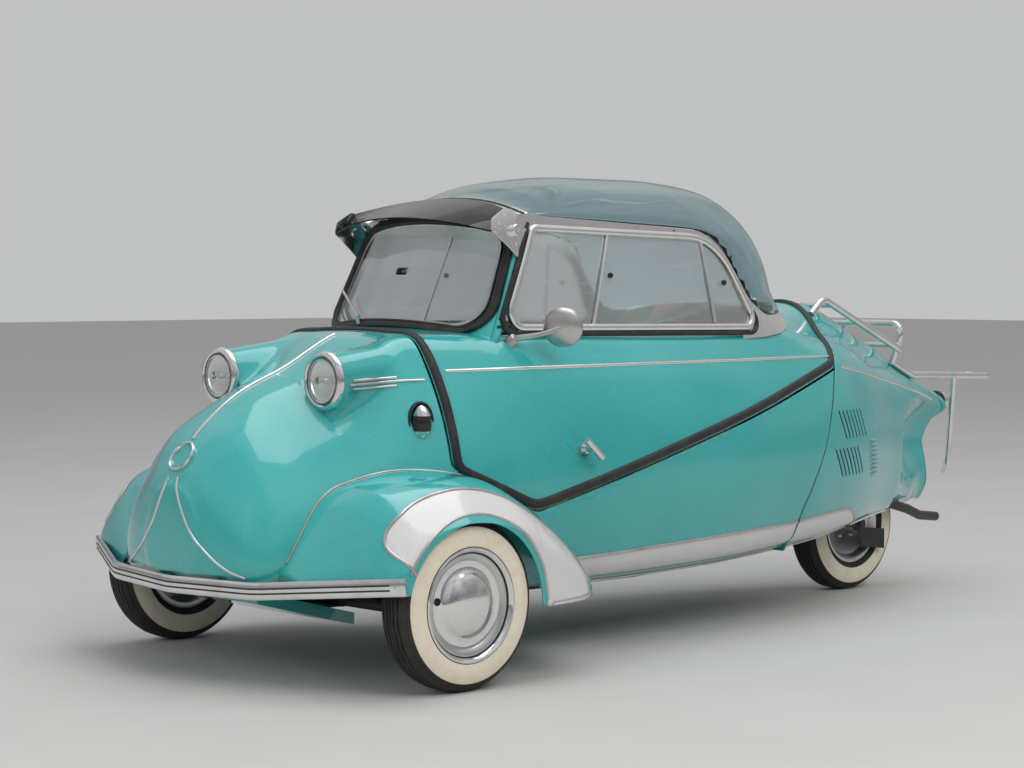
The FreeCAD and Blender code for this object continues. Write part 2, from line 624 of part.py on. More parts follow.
def screen_solid(grow, deep, thick):
    """Windscreen sheet: grown at its edges, set back and of a given thickness."""
    (xb, yb, zb), (xbm, _, zbm) = SCREEN_BASE
    (xt, yt, zt), (xtm, _, ztm) = SCREEN_TOP
    lean = (xt - xb) / (zt - zb)
    narrow = (yt - yb) / (zt - zb)
    base = crescent((xb - lean * grow, yb - narrow * grow + grow, zb - grow),
                    (xbm - lean * grow, 0, zbm - grow), deep, thick)
    top = crescent((xt + lean * grow, yt + narrow * grow + grow, zt + grow),
                   (xtm + lean * grow, 0, ztm + grow), deep, thick)
    return Part.makeLoft([base, top], True, True)


def make_windscreen(outer):
    glass = screen_solid(0.0, 0.0, SCREEN_T)
    ring = screen_solid(4.0, -4.0, SCREEN_T + 8.0)
    light = screen_solid(-GASKET, -30.0, 60.0)
    gasket = ring.cut(light).cut(glass)
    return glass.cut(outer), gasket.cut(outer)


def make_header():
    """Aluminium header from the windscreen's top edge to the front of the dome."""
    return bent_strip(HEADER_LOW, HEADER_HIGH, HEADER_T)


def make_glasshouse(outer):
    """Dome, side panes, aluminium window frames with their rails, and the dome's flange."""
    behind = at(GLASS_SECTIONS[-1][0])
    dome_front = at(HEADER_HIGH[0][0]) - 0.3
    far_back, low, high, wide = at(-1800), 700.0, 1300.0, 600.0

    def hull(inset):
        solid = glass_loft(inset, None)
        if inset > 0:
            solid = solid.common(box(behind + inset, at(0), -wide, wide, 600, 1400))
        return solid

    skin = hull(0.0).cut(hull(GLASS_T))
    thick = hull(-FRAME_PROUD).cut(hull(GLASS_T + FRAME_PROUD))
    frame_zone = fuse([side_prism(line, 0.0, side) for line in (WINDOW, RAIL) for side in (1, -1)])
    pane_zone = fuse([side_prism(WINDOW, FRAME_W / 2, side) for side in (1, -1)])
    light = fuse([side_prism(WINDOW, FRAME_W, side) for side in (1, -1)])

    panes = skin.common(pane_zone)
    frames = thick.common(frame_zone).cut(light).cut(outer).cut(panes).cut(screen_solid(4.3, -4.3, SCREEN_T + 8.6))
    gaps = []
    for x_low, x_high in PANE_EDGES:
        (xa, za), (xb, zb) = (at(x_low), 820.0), (at(x_high), 1042.0)
        reach = 0.2
        dx, dz = (xb - xa) * reach, (zb - za) * reach
        gaps.append(polygon_prism([(xa - dx, za - dz), (xa - dx + PANE_GAP, za - dz),
                                   (xb + dx + PANE_GAP, zb + dz), (xb + dx, zb + dz)], -wide, wide))
    panes = panes.cut(fuse(gaps))

    flange_line = [(at(x), z) for x, z in FLANGE_TOP]
    border = flange_line + [(far_back, FLANGE_TOP[-1][1])]
    start_x, start_z = flange_line[0]
    dome_zone = polygon_prism([(dome_front, high), (dome_front, 1040), (start_x + 60, start_z)] + border +
                              [(far_back, high)], -wide, wide)
    flange_zone = polygon_prism([(start_x + 60, low), (start_x + 60, start_z)] + border + [(far_back, low)], -wide, wide)
    dome = skin.common(dome_zone).cut(frame_zone).cut(outer)
    flange = thick.common(flange_zone).cut(frame_zone).cut(outer)
    return {"dome": dome, "window_frames": frames, "side_windows": panes, "dome_flange": flange}


def make_visor():
    """Tinted sun visor: a peak ahead of the header, on two side brackets."""
    peak = bent_strip(VISOR_FRONT, VISOR_BACK, VISOR_T)
    _, y_base, z_base, y_rail, z_rail, _ = GLASS_SECTIONS[0]
    slope = (y_base - y_rail) / (z_rail - z_base)
    plates = []
    for side in (1, -1):
        corners = [V(at(x), side * (y_rail + slope * (z_rail - z) + BRACKET_OUT), z) for x, z in BRACKET]
        plates.append(Part.Face(Part.makePolygon(corners + corners[:1])).extrude(V(0, side * 3, 0)))
    return peak, plates


def hollow_solid(side, grow):
    """Egg-shaped space that hollows a flank of the tail."""
    x, y, z = HOLLOW
    a, b, c = [(half + grow) / 10 for half in HOLLOW_SIZE]
    matrix = FreeCAD.Matrix(a, 0, 0, at(x), 0, b, 0, side * y, 0, 0, c, z, 0, 0, 0, 1)
    return Part.makeSphere(10.0).transformGeometry(matrix)


def make_tail(shell, inner):
    """Tail section with its beak scooped out above the exhaust, open below round the wheel."""
    tail = shell.common(tail_region(0.0))
    end = at(BODY_SECTIONS[-1][0])
    (x0, z0), (x1, z1), (xm, zm), (x2, z2) = [(at(x), z) for x, z in SCOOP]
    edges = [Part.LineSegment(V(x0, -400, z0 - 60), V(x1, -400, z1)).toShape(),
             Part.Arc(V(x1, -400, z1), V(xm, -400, zm), V(x2, -400, z2)).toShape(),
             Part.LineSegment(V(x2, -400, z2), V(end - 60, -400, z2)).toShape(),
             Part.LineSegment(V(end - 60, -400, z2), V(end - 60, -400, z0 - 60)).toShape(),
             Part.LineSegment(V(end - 60, -400, z0 - 60), V(x0, -400, z0 - 60)).toShape()]
    scoop = Part.Face(Part.Wire(edges)).extrude(V(0, 800, 0))
    offset = V(WALL, 0, 0)
    lining = scoop.translated(offset).fuse(scoop.translated(V(WALL, 0, 3))).common(inner)
    tail = tail.fuse(lining)
    tail = tail.fuse([hollow_solid(side, WALL).common(inner) for side in (1, -1)]).cut(scoop)
    tail = tail.cut([hollow_solid(side, 0.0) for side in (1, -1)])
    well = box(at(-2290), at(-1300), -WELL_HALF, WELL_HALF, 100, 300)
    tail = tail.cut(well)
    slots = []
    for row in LOUVRES:
        low, high, z = row
        for i in range(LOUVRE_COUNT):
            a, b = at(low) - i * LOUVRE_PITCH, at(high) - i * LOUVRE_PITCH
            slots.append(polygon_prism([(a, z), (a - LOUVRE_W, z), (b - LOUVRE_W, z + LOUVRE_H), (b, z + LOUVRE_H)],
                                       -500, 500))
    tail = tail.cut(slots)
    tail = max(tail.Solids, key=lambda s: s.Volume)
    x, z = at(TAIL_HINGE_X), TAIL_HINGE_Z
    pockets, barrels = [], []
    for side in (1, -1):
        near, far = TAIL_HINGE_Y - BARREL_L - 3, TAIL_HINGE_Y + BARREL_L + 3
        y0, y1 = sorted((side * near, side * TAIL_HINGE_Y))
        pockets.append(box(x - 9, x + 40, y0, y1, z - 14, z + 20))
        ends = (side * (TAIL_HINGE_Y + 0.3), side * far)
        barrels.append(rod((x, ends[0], z), (x, ends[1], z), TAIL_BARREL))
    return fuse([tail.cut(pockets)] + barrels)


def make_rack():
    """Chrome luggage rack: sloping ladder, upright hoop, rear loop and strut."""
    def pts(points):
        return [(at(x), y, z) for x, y, z in points]
    rail = tube(pts(RACK_RAIL), RACK_R, 34)
    _, (x0, y0, z0), (x1, y1, z1) = RACK_RAIL
    hoop = tube(pts([(-2150, 92, 676), (-2164, 126, 796), (-2164, -126, 796), (-2150, -92, 676)]), RACK_R, 34)
    end = RACK_R - RACK_REAR
    loop = tube(pts([(-2262, 82, 636), (end, 46, 622), (end, -46, 622), (-2262, -82, 636)]), RACK_R, 34)
    strut = tube(pts([(-2500, 62, 622), (-2512, 30, 330), (-2426, 0, 300)]), RACK_R - 1, 70)
    foot = box(at(-2424.5), at(-2420.5), -16, 16, 268, 330)
    bars = []
    for x, above in RACK_BARS:
        share = (x - x0) / (x1 - x0)
        y, z = y0 + share * (y1 - y0), z0 + share * (z1 - z0) + above
        bars.append(rod((at(x), -y, z), (at(x), y, z), RACK_R - 3))
    legs = [rod((at(-2150), s * 92, 680), (at(-2262), s * 82, 636), RACK_R) for s in (1, -1)]
    return fuse([rail, mirror_y(rail), hoop, loop, strut, foot] + bars + legs)


def make_seals():
    """Canopy seal on the nose and tub edge, kept off the canopy by the seam."""
    proud = body_loft(-SEAL_PROUD).cut(body_loft(-SKIN_CLEAR))
    over = canopy_region(-1.0)
    under = canopy_region(-1.0 - SEAL_W)
    band = proud.common(over).cut(under)
    band = band.cut(box(at(-2600), at(CANOPY_FRONT_X - SEAL_W - 2), -700, 0, 0, HINGE_Z + 60))
    return band


def pad(x0, x1, half, z0, z1, r):
    """Plain cushion block with rounded edges."""
    block = box(x0, x1, -half, half, z0, z1)
    return block.makeFillet(r, block.Edges)


def make_seats():
    f, r = FRONT_SEAT, REAR_SEAT
    parts = {}
    parts["front_cushion"] = pad(at(f["back"]) + CUSHION_BACK[0], at(f["front"]), f["half"], f["base"], f["top"], 22)
    back = pad(at(f["back"]) - 20, at(f["back"]) + SEAT_PAD - 20, f["half"] - 10, f["base"] + 20, f["head"], 22)
    back.rotate(V(at(f["back"]), 0, f["top"]), V(0, 1, 0), -12)
    parts["front_backrest"] = back
    parts["rear_cushion"] = pad(at(r["back"]) + CUSHION_BACK[1], at(r["front"]), r["half"], r["base"], r["top"], 22)
    back = pad(at(r["back"]) - 12, at(r["back"]) + SEAT_PAD - 22, r["half"] - 20, r["base"] + 20, r["head"], 22)
    back.rotate(V(at(r["back"]), 0, r["top"]), V(0, 1, 0), -4)
    parts["rear_backrest"] = back
    return parts


def make_seat_frame():
    """Tubular stand of the front seat and the box under the rear bench."""
    f, r = FRONT_SEAT, REAR_SEAT
    x0, x1 = at(f["back"]) + 70, at(f["front"]) - 30
    low0, low1 = (floor_top(x - FRONT_AXLE_X) + SKIN_CLEAR for x in (x0, x1))
    y = f["half"] - 24
    legs = []
    for side in (1, -1):
        legs.append(tube([(x1, side * y, low1), (x1, side * y, f["base"] - 8.3), (x0, side * y, f["base"] - 8.3),
                          (x0, side * y, low0)], 8, 30))
    bars = [rod((x, -y, f["base"] - 8.3), (x, y, f["base"] - 8.3), 8) for x in (x0 + 30, x1 - 30)]
    return fuse(legs + bars)


def make_bulkhead():
    """Wall between cabin and engine, with the shelf behind the bench and the arms of the tail's hinges."""
    wall = box(at(BULKHEAD_X) - BULKHEAD_T, at(BULKHEAD_X), -600, 600, 100, BULKHEAD_TOP)
    shelf = box(at(-1536), at(BULKHEAD_X), -600, 600, BULKHEAD_TOP, BULKHEAD_TOP + BULKHEAD_T)
    fit = body_loft(WALL + 0.3)
    plate = fuse([wall, shelf]).common(fit).cut(tail_region(SEAM))
    arms = []
    for side in (1, -1):
        y0, y1 = side * (TAIL_HINGE_Y - BARREL_L), side * (TAIL_HINGE_Y - 0.3)
        y = (y0 + y1) / 2
        arms.append(rod((at(TAIL_HINGE_X), y0, TAIL_HINGE_Z), (at(TAIL_HINGE_X), y1, TAIL_HINGE_Z), TAIL_BARREL))
        arms.append(rod((at(-1520), y, BULKHEAD_TOP), (at(-1745), y, TAIL_HINGE_Z - 30), 8))
        arms.append(rod((at(-1742), y, TAIL_HINGE_Z - 33), (at(TAIL_HINGE_X), y, TAIL_HINGE_Z), 5.5))
    return fuse([plate] + arms)


def make_bench_box():
    """Box that carries the rear bench, fitted to the sloping floor."""
    r = REAR_SEAT
    block = box(at(r["back"]) + 30, at(r["front"]) - 20, -r["half"] + 10, r["half"] - 10, 150, r["base"] - SKIN_CLEAR)
    return block.common(body_loft(WALL + 0.3))


def make_chassis(skin_fit):
    """Longitudinal tubes, cross tubes and their feet below the floor."""
    rails = [tube([(at(x), side * y, z) for x, y, z in CHASSIS_RAIL], CHASSIS_R, 120) for side in (1, -1)]
    bars = [rod((at(x), -CHASSIS_Y, CHASSIS_Z), (at(x), CHASSIS_Y, CHASSIS_Z), CHASSIS_R - 3) for x in CHASSIS_BARS]
    pivot = rod((at(SWING_PIVOT_X), -126, SWING_PIVOT_Z), (at(SWING_PIVOT_X), 126, SWING_PIVOT_Z), 14)
    half_x, half_y, high = CHASSIS_FOOT
    feet = [box(at(x) - half_x, at(x) + half_x, y - half_y, y + half_y, CHASSIS_Z, CHASSIS_Z + high).cut(skin_fit)
            for x in CHASSIS_BARS for y in (-CHASSIS_Y, CHASSIS_Y)]
    return fuse(rails + bars + feet + [pivot])


def make_undertray(skin_fit):
    """Painted tray below the nose, hung from its floor ahead of the axle."""
    front, rear, z_front, z_rear, half = TRAY
    fall = (z_front - z_rear) / (front - rear)
    outline = [(front, 260), (front, z_front), (rear, z_rear), (rear, z_rear + TRAY_LIP),
               (front - TRAY_LIP, z_front - fall * TRAY_LIP + TRAY_LIP), (front - TRAY_LIP, 260)]
    inside = [(front - TRAY_T, 270), (front - TRAY_T, z_front + TRAY_T), (rear - TRAY_T, z_rear + TRAY_T), (rear - TRAY_T, 270)]
    tray = polygon_prism([(at(x), z) for x, z in outline], -half, half)
    hollow = polygon_prism([(at(x), z) for x, z in inside], TRAY_T - half, half - TRAY_T)
    return tray.cut(hollow).cut(skin_fit)


def make_swing_arm():
    """Fork that carries the rear wheel on its axle pin."""
    arms = []
    for side in (1, -1):
        arms.append(rod((at(SWING_PIVOT_X) - 14.4, side * (SWING_Y + 10), SWING_PIVOT_Z), (REAR_AXLE_X, side * SWING_Y, WHEEL_R),
                        SWING_R))
        arms.append(rod((REAR_AXLE_X, side * (SWING_Y - 6), WHEEL_R), (REAR_AXLE_X, side * (SWING_Y + 14), WHEEL_R), 20))
    axle = rod((REAR_AXLE_X, -SWING_Y - 18, WHEEL_R), (REAR_AXLE_X, SWING_Y + 18, WHEEL_R), AXLE_PIN_R)
    cross = rod((at(SWING_PIVOT_X) - 40, -SWING_Y - 12, SWING_PIVOT_Z), (at(SWING_PIVOT_X) - 40, SWING_Y + 12, SWING_PIVOT_Z), 14)
    return fuse(arms + [axle, cross])


def make_engine():
    x0, x1, y0, y1, z0, z1 = ENGINE
    block = box(at(x0), at(x1), y0, y1, z0, z1)
    return block.makeFillet(20, block.Edges)


def make_exhaust():
    """Silencer beside the wheel and the tail pipe."""
    silencer = rod((at(-1760), 120, 300), (at(-2010), 114, 288), 28)
    pipe = tube([(at(-2004), 114, 288), (at(-2120), 104, 258), (at(-2230), 92, 232), (at(-2330), 62, 204),
                 (at(-2452), 30, 190)], 14, 60)
    stub = rod((at(-1765), 120, 300), (at(ENGINE[0]) - 0.4, 120, 300), 14)
    return fuse([silencer, pipe, stub])


def make_dashboard():
    """Painted panel below the windscreen on two arms that reach the nose's flanks."""
    panel = box(at(-262), at(-250), -500, 500, 600, 790)
    arms = box(at(-262), at(-100), -500, 500, 610, 618).cut(box(at(-250), at(-90), -240, 240, 600, 700))
    feet = box(at(-116), at(-60), -500, 500, 610, 618).cut(box(at(-130), at(-50), -240, 240, 600, 700))
    clear = body_loft(WALL + 24.0)
    return fuse([panel.common(clear), arms.common(clear), feet.common(body_loft(WALL + 0.3))])


def make_column_bracket():
    """Bearing of the steering column on two legs that stand on the floor."""
    a = column_axis()
    foot = column_foot()
    start = foot + a * 46
    sleeve = Part.makeCylinder(COLUMN_R + 7, 34, start, a)
    middle = start + a * 17
    plate = box(middle.x - 6, middle.x + 6, -92, 92, middle.z - 14, middle.z - 4)
    legs = [box(middle.x - 6, middle.x + 6, y0, y0 + 12, 150, middle.z - 4) for y0 in (-92, 80)]
    block = fuse([sleeve, plate] + legs).common(body_loft(WALL + 0.3))
    return block.cut(Part.makeCylinder(COLUMN_R + 0.3, 120, foot, a))


def make_lamps(skin_fit):
    """Headlamp rims and lenses."""
    rims, lenses = [], []
    for side in (1, -1):
        c = (at(LAMP_X), side * LAMP_Y, LAMP_Z)
        rims.append(revolved([(LAMP_R + 4, 0.3), (LAMP_R + 3, 8), (LAMP_R - 4, 13), (LAMP_R - 9, 10), (LAMP_R - 9, 0.3)],
                             c, (1, 0, 0)))
        lenses.append(revolved([(0, 14), (24, 12.5), (44, 8.5), (LAMP_R - 9.3, 4), (LAMP_R - 9.3, 0), (44, 4.5),
                                (24, 8.5), (0, 10)], c, (1, 0, 0)))
    return [r.cut(skin_fit) for r in rims], [g.cut(skin_fit) for g in lenses]


def make_side_lamps(skin_fit):
    """Upright half-egg lamps on the nose's flanks."""
    x_axle, y, z = SIDE_LAMP
    along, high, out = SIDE_LAMP_SIZE
    turn = math.radians(SIDE_LAMP_TURN)
    u = (math.cos(turn) * along / 10, -math.sin(turn) * along / 10)
    n = (math.sin(turn) * out / 10, math.cos(turn) * out / 10)
    matrix = FreeCAD.Matrix(u[0], 0, n[0], at(x_axle), u[1], 0, n[1], y, 0, -high / 10, 0, z, 0, 0, 0, 1)
    left = Part.makeSphere(10.0).transformGeometry(matrix).cut(skin_fit)
    return [left, mirror_y(left)]


def make_mirror(skin_fit):
    """Round mirror on an arm from the canopy's left shoulder."""
    arm = tube([(at(-361), 336, 782), (at(-384), 388, 794), (at(-436), 429, 806)], 5, 18)
    head = revolved([(0, -6), (30, -4), (46, 4), (49, 10), (46, 14), (0, 14)], (at(-440), 430, 806), (-1, 0.35, 0))
    base = rod((at(-361), 318, 764), (at(-361), 341, 788), 12)
    return fuse([arm, head, base]).cut(skin_fit)


def make_wiper():
    pivot = rod((at(-232), -86, 818), (at(-226), -86, 838), 7)
    arm = rod((at(-228), -86, 834), (at(-300), -236, 900), 3.5)
    return fuse([pivot, arm])


def make_handle(skin_fit):
    """T handle on the canopy's left flank."""
    x, z = at(-511), 518.0
    grip_y = 467.0
    stem = rod((x, 415, z), (x, grip_y, z), 9)
    boss = rod((x, 415, z), (x, 438, z), 16)
    grip = rod((x + 27, grip_y, z + 23), (x - 27, grip_y, z - 23), 8.5)
    return fuse([stem, boss, grip]).cut(skin_fit)


def make_tail_lamp(skin_fit):
    """Lamp at the tip of the beak."""
    body = revolved([(0, 0), (26, 0), (26, 26), (20, 40), (0, 46)], (at(-2494), 0, 548), (-1, 0, 0))
    return body.cut(skin_fit)


def canopy_hinges(skin_fit):
    """Leaves with barrels on the canopy's hinge line: those of the tub and those of the canopy."""
    fixed, moving = [], []
    for x_axle in HINGE_STATIONS:
        x = at(x_axle)
        for leaves, x0, z0 in ((fixed, x - 30.3, HINGE_Z - 26), (moving, x + 0.3, HINGE_Z + 8)):
            barrel = rod((x0, HINGE_Y, HINGE_Z), (x0 + 30, HINGE_Y, HINGE_Z), HINGE_BARREL)
            leaf = box(x0, x0 + 30, HINGE_Y - 3, HINGE_Y + 60, z0, z0 + 18).cut(skin_fit)
            link = box(x0, x0 + 30, HINGE_Y - 3, HINGE_Y + 3, min(z0, HINGE_Z), max(z0 + 18, HINGE_Z))
            leaves.append(fuse([barrel, leaf, link]))
    return fixed, moving


def export(nodes):
    os.makedirs("parts", exist_ok=True)
    for name, shape in nodes.items():
        solids = len(shape.Solids)
        print(name, "solids", solids, "valid", shape.isValid(), "volume", round(shape.Volume / 1000.0, 1), "cc")
        shape.exportStep(os.path.join("parts", name + ".step"))


def main():
    nodes, outer, inner, shell = make_body()
    skin_fit = body_loft(-SKIN_CLEAR)
    fixed_leaves, moving_leaves = canopy_hinges(body_loft(0.5))
    nodes["tub_shell"] = fuse([nodes["tub_shell"]] + fixed_leaves)
    nodes["canopy_shell"] = fuse([make_canopy(shell)] + moving_leaves)
    for name, side in (("left", 1), ("right", -1)):
        nodes["fender_" + name] = make_fender(outer, side)
        tyre, rim, cap = wheel_parts(FRONT_AXLE_X, side * WHEEL_Y, side)
        nodes["tyre_front_" + name] = tyre
        nodes["rim_front_" + name] = rim
        nodes["hubcap_" + name] = cap
        nodes["knuckle_" + name] = make_knuckle(side)
        nodes["tie_rod_" + name] = make_tie_rod(side)
    nodes["tyre_rear"], nodes["rim_rear"], _ = wheel_parts(REAR_AXLE_X, 0.0, 1)
    nodes["front_bumper"] = make_bumper()
    nodes["handlebar"] = make_handlebar()
    nodes["front_axle"] = make_front_axle()
    nodes["windscreen"], nodes["windscreen_gasket"] = make_windscreen(outer)
    nodes.update(make_glasshouse(outer))
    nodes["header"] = make_header()
    peak, plates = make_visor()
    nodes["sun_visor"] = peak
    nodes["visor_brackets"] = Part.Compound(plates)
    nodes["canopy_seal"] = make_seals()
    nodes["tail_shell"] = make_tail(shell, inner)
    nodes["luggage_rack"] = make_rack().cut(skin_fit)
    nodes["tail_lamp"] = make_tail_lamp(skin_fit)
    nodes.update(make_seats())
    nodes["seat_frame"] = make_seat_frame()
    nodes["bench_box"] = make_bench_box()
    nodes["bulkhead"] = make_bulkhead()
    nodes["chassis_frame"] = make_chassis(skin_fit).cut(nodes["front_axle"])
    nodes["undertray"] = make_undertray(skin_fit)
    nodes["swing_arm"] = make_swing_arm()
    nodes["engine_block"] = make_engine()
    nodes["exhaust"] = make_exhaust()
    nodes["dashboard"] = make_dashboard()
    nodes["column_bracket"] = make_column_bracket()
    rims, lenses = make_lamps(skin_fit)
    nodes["headlamp_rims"] = Part.Compound(rims)
    nodes["headlamp_lenses"] = Part.Compound(lenses)
    nodes["side_lamps"] = Part.Compound(make_side_lamps(skin_fit))
    nodes["mirror"] = make_mirror(skin_fit)
    nodes["wiper"] = make_wiper().cut(nodes["windscreen_gasket"])
    nodes["door_handle"] = make_handle(skin_fit)
    export(nodes)


main()
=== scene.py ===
"""Looks of a three-wheeled tandem cabin scooter with a tinted dome.

Points are (x, y, z) in millimetres, x measured forward from the front axle, y to the car's left, z up.
They become metres in the part's frame when a mesh is made.
"""

from __future__ import annotations

import json
import logging
import math
from dataclasses import dataclass, field
from enum import Enum
from typing import Any, Callable, Iterable, Sequence

import bmesh
import bpy
import numpy as np
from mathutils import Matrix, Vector
from mathutils.bvhtree import BVHTree

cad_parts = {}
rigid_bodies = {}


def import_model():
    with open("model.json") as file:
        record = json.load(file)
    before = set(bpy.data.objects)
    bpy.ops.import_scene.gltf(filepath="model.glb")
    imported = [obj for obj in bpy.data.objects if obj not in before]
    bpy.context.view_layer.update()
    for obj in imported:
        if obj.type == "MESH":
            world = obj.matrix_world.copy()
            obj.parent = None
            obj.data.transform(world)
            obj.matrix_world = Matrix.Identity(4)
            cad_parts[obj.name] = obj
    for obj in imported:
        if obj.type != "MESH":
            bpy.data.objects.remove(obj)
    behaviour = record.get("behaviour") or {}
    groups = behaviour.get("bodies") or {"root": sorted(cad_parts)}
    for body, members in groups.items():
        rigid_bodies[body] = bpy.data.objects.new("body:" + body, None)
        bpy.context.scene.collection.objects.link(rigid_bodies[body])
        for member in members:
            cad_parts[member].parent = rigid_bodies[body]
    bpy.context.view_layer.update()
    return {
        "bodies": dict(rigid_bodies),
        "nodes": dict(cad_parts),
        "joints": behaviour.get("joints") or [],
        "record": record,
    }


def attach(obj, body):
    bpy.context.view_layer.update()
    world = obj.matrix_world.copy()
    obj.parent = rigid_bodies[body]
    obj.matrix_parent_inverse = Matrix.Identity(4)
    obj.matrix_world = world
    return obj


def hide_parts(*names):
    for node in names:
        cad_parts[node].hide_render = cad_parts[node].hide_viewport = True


LOG = logging.getLogger("cabin_scooter")
MM = 0.001
FRONT_AXLE_X = 1155.5
WHEELBASE = 2030.0
WHEEL_Y = 540.0
WHEEL_R = 198.0

Point = tuple[float, float, float]
Flat = tuple[float, float]
Field = Callable[[float, float, float], float]


class Side(Enum):
    """Left or right half of the car."""

    LEFT = 1
    RIGHT = -1


class Body(str, Enum):
    """Bodies of the frame that pieces ride on."""

    ROOT = "root"
    CANOPY = "canopy"
    TAIL = "tail"
    STEERING = "steering"
    WHEEL_LEFT = "wheel_front_left"
    WHEEL_RIGHT = "wheel_front_right"
    WHEEL_REAR = "wheel_rear"


# Curves and outlines


def monotone(xs: Sequence[float], ys: Sequence[float]) -> Callable[[float], float]:
    """Smooth curve through points that never swings past them.

    Args:
        xs: Stations in rising order.
        ys: Values at the stations.

    Returns:
        Function of the station.
    """
    x = np.asarray(xs, float)
    y = np.asarray(ys, float)
    h = np.diff(x)
    slope = np.diff(y) / h
    tangent = np.zeros(len(x))
    tangent[0], tangent[-1] = slope[0], slope[-1]
    for i in range(1, len(x) - 1):
        if slope[i - 1] * slope[i] > 0:
            wide, near = 2 * h[i] + h[i - 1], h[i] + 2 * h[i - 1]
            tangent[i] = (wide + near) / (wide / slope[i - 1] + near / slope[i])

    def curve(station: float) -> float:
        """Value at a station, held at the ends."""
        s = min(max(station, x[0]), x[-1])
        i = min(int(np.searchsorted(x, s, side="right")) - 1, len(h) - 1)
        t = (s - x[i]) / h[i]
        return float((1 + 2 * t) * (1 - t) ** 2 * y[i] + t * (1 - t) ** 2 * h[i] * tangent[i]
                     + t * t * (3 - 2 * t) * y[i + 1] + t * t * (t - 1) * h[i] * tangent[i + 1])

    return curve


def flowing(points: Sequence[Sequence[float]], step: float) -> list[np.ndarray]:
    """Smooth line through points, sampled about every step.

    Args:
        points: Points of two or three numbers.
        step: Distance between samples.

    Returns:
        Sampled points.
    """
    pts = [np.asarray(p, float) for p in points]
    pts = [2 * pts[0] - pts[1]] + pts + [2 * pts[-1] - pts[-2]]
    out = []
    for a, b, c, d in zip(pts, pts[1:], pts[2:], pts[3:]):
        ta = 0.0
        tb = ta + max(np.linalg.norm(b - a), 1e-6) ** 0.5
        tc = tb + max(np.linalg.norm(c - b), 1e-6) ** 0.5
        td = tc + max(np.linalg.norm(d - c), 1e-6) ** 0.5
        count = max(2, int(round(np.linalg.norm(c - b) / step)))
        for i in range(count):
            t = tb + (tc - tb) * i / count
            ab = (tb - t) / (tb - ta) * a + (t - ta) / (tb - ta) * b
            bc = (tc - t) / (tc - tb) * b + (t - tb) / (tc - tb) * c
            cd = (td - t) / (td - tc) * c + (t - tc) / (td - tc) * d
            abc = (tc - t) / (tc - ta) * ab + (t - ta) / (tc - ta) * bc
            bcd = (td - t) / (td - tb) * bc + (t - tb) / (td - tb) * cd
            out.append((tc - t) / (tc - tb) * abc + (t - tb) / (tc - tb) * bcd)
    out.append(pts[-2])
    return out


def rounded(corners: Sequence[Sequence[float]], step: float, closed: bool = True) -> list[np.ndarray]:
    """Straight runs joined by arcs.

    Args:
        corners: Coordinates of each corner with its radius last.
        step: Distance between samples on the runs.
        closed: Whether the last corner joins the first.

    Returns:
        Sampled points.
    """
    pts = [np.asarray(c[:-1], float) for c in corners]
    count = len(pts)
    out: list[np.ndarray] = []
    for i in range(count):
        if not closed and i in (0, count - 1):
            ends = [pts[i]]
        else:
            u = pts[i - 1] - pts[i]
            w = pts[(i + 1) % count] - pts[i]
            u, w = u / np.linalg.norm(u), w / np.linalg.norm(w)
            half = math.acos(float(np.clip(np.dot(u, w), -1, 1))) / 2
            radius = corners[i][-1]
            cut = radius / math.tan(half)
            centre = pts[i] + (u + w) / np.linalg.norm(u + w) * radius / math.sin(half)
            a, b = pts[i] + u * cut - centre, pts[i] + w * cut - centre
            turn = math.pi - 2 * half
            pieces = max(2, int(math.degrees(turn) / 9))
            ends = [centre + (math.sin(turn * (1 - k / pieces)) * a + math.sin(turn * k / pieces) * b) /
                    math.sin(turn) for k in range(pieces + 1)]
        if out:
            out += between(out[-1], ends[0], step)
        out += ends
    if closed:
        out += between(out[-1], out[0], step)
    return out


def between(a: np.ndarray, b: np.ndarray, step: float) -> list[np.ndarray]:
    """Points inside a straight run, about a step apart."""
    count = max(1, int(np.linalg.norm(b - a) / step))
    return [a + (b - a) * i / count for i in range(1, count)]


def arc_points(a: Flat, b: Flat, centre: Flat, count: int) -> list[Flat]:
    """Points on the short arc from a to b about a centre, the first left out."""
    start = math.atan2(a[1] - centre[1], a[0] - centre[0])
    end = math.atan2(b[1] - centre[1], b[0] - centre[0])
    if end - start > math.pi:
        end -= 2 * math.pi
    if start - end > math.pi:
        end += 2 * math.pi
    r0 = math.hypot(a[0] - centre[0], a[1] - centre[1])
    r1 = math.hypot(b[0] - centre[0], b[1] - centre[1])
    out = []
    for i in range(1, count + 1):
        t = i / count
        angle, r = start + (end - start) * t, r0 + (r1 - r0) * t
        out.append((centre[0] + r * math.cos(angle), centre[1] + r * math.sin(angle)))
    return out


def softened(line: np.ndarray, width: int, rounds: int = 2) -> np.ndarray:
    """Polyline with its kinks rounded by a moving average, ends kept."""
    if width < 1:
        return line
    out = line.copy()
    for _ in range(rounds):
        padded = np.vstack([2 * out[0] - out[width:0:-1], out, 2 * out[-1] - out[-2:-width - 2:-1]])
        kernel = np.ones(2 * width + 1) / (2 * width + 1)
        out = np.column_stack([np.convolve(padded[:, k], kernel, "valid") for k in range(out.shape[1])])
        out[0], out[-1] = line[0], line[-1]
    return out


def line_side(a: Flat, b: Flat, x: float, z: float) -> float:
    """Signed distance of (x, z) from the line a to b, positive on its left."""
    dx, dz = b[0] - a[0], b[1] - a[1]
    return (dx * (z - a[1]) - dz * (x - a[0])) / math.hypot(dx, dz)


def soft_max(values: Iterable[float], soft: float) -> float:
    """Largest value, with its corners rounded over a distance."""
    values = list(values)
    top = max(values)
    return top + soft * math.log(sum(math.exp((v - top) / soft) for v in values))


# Shader nodes


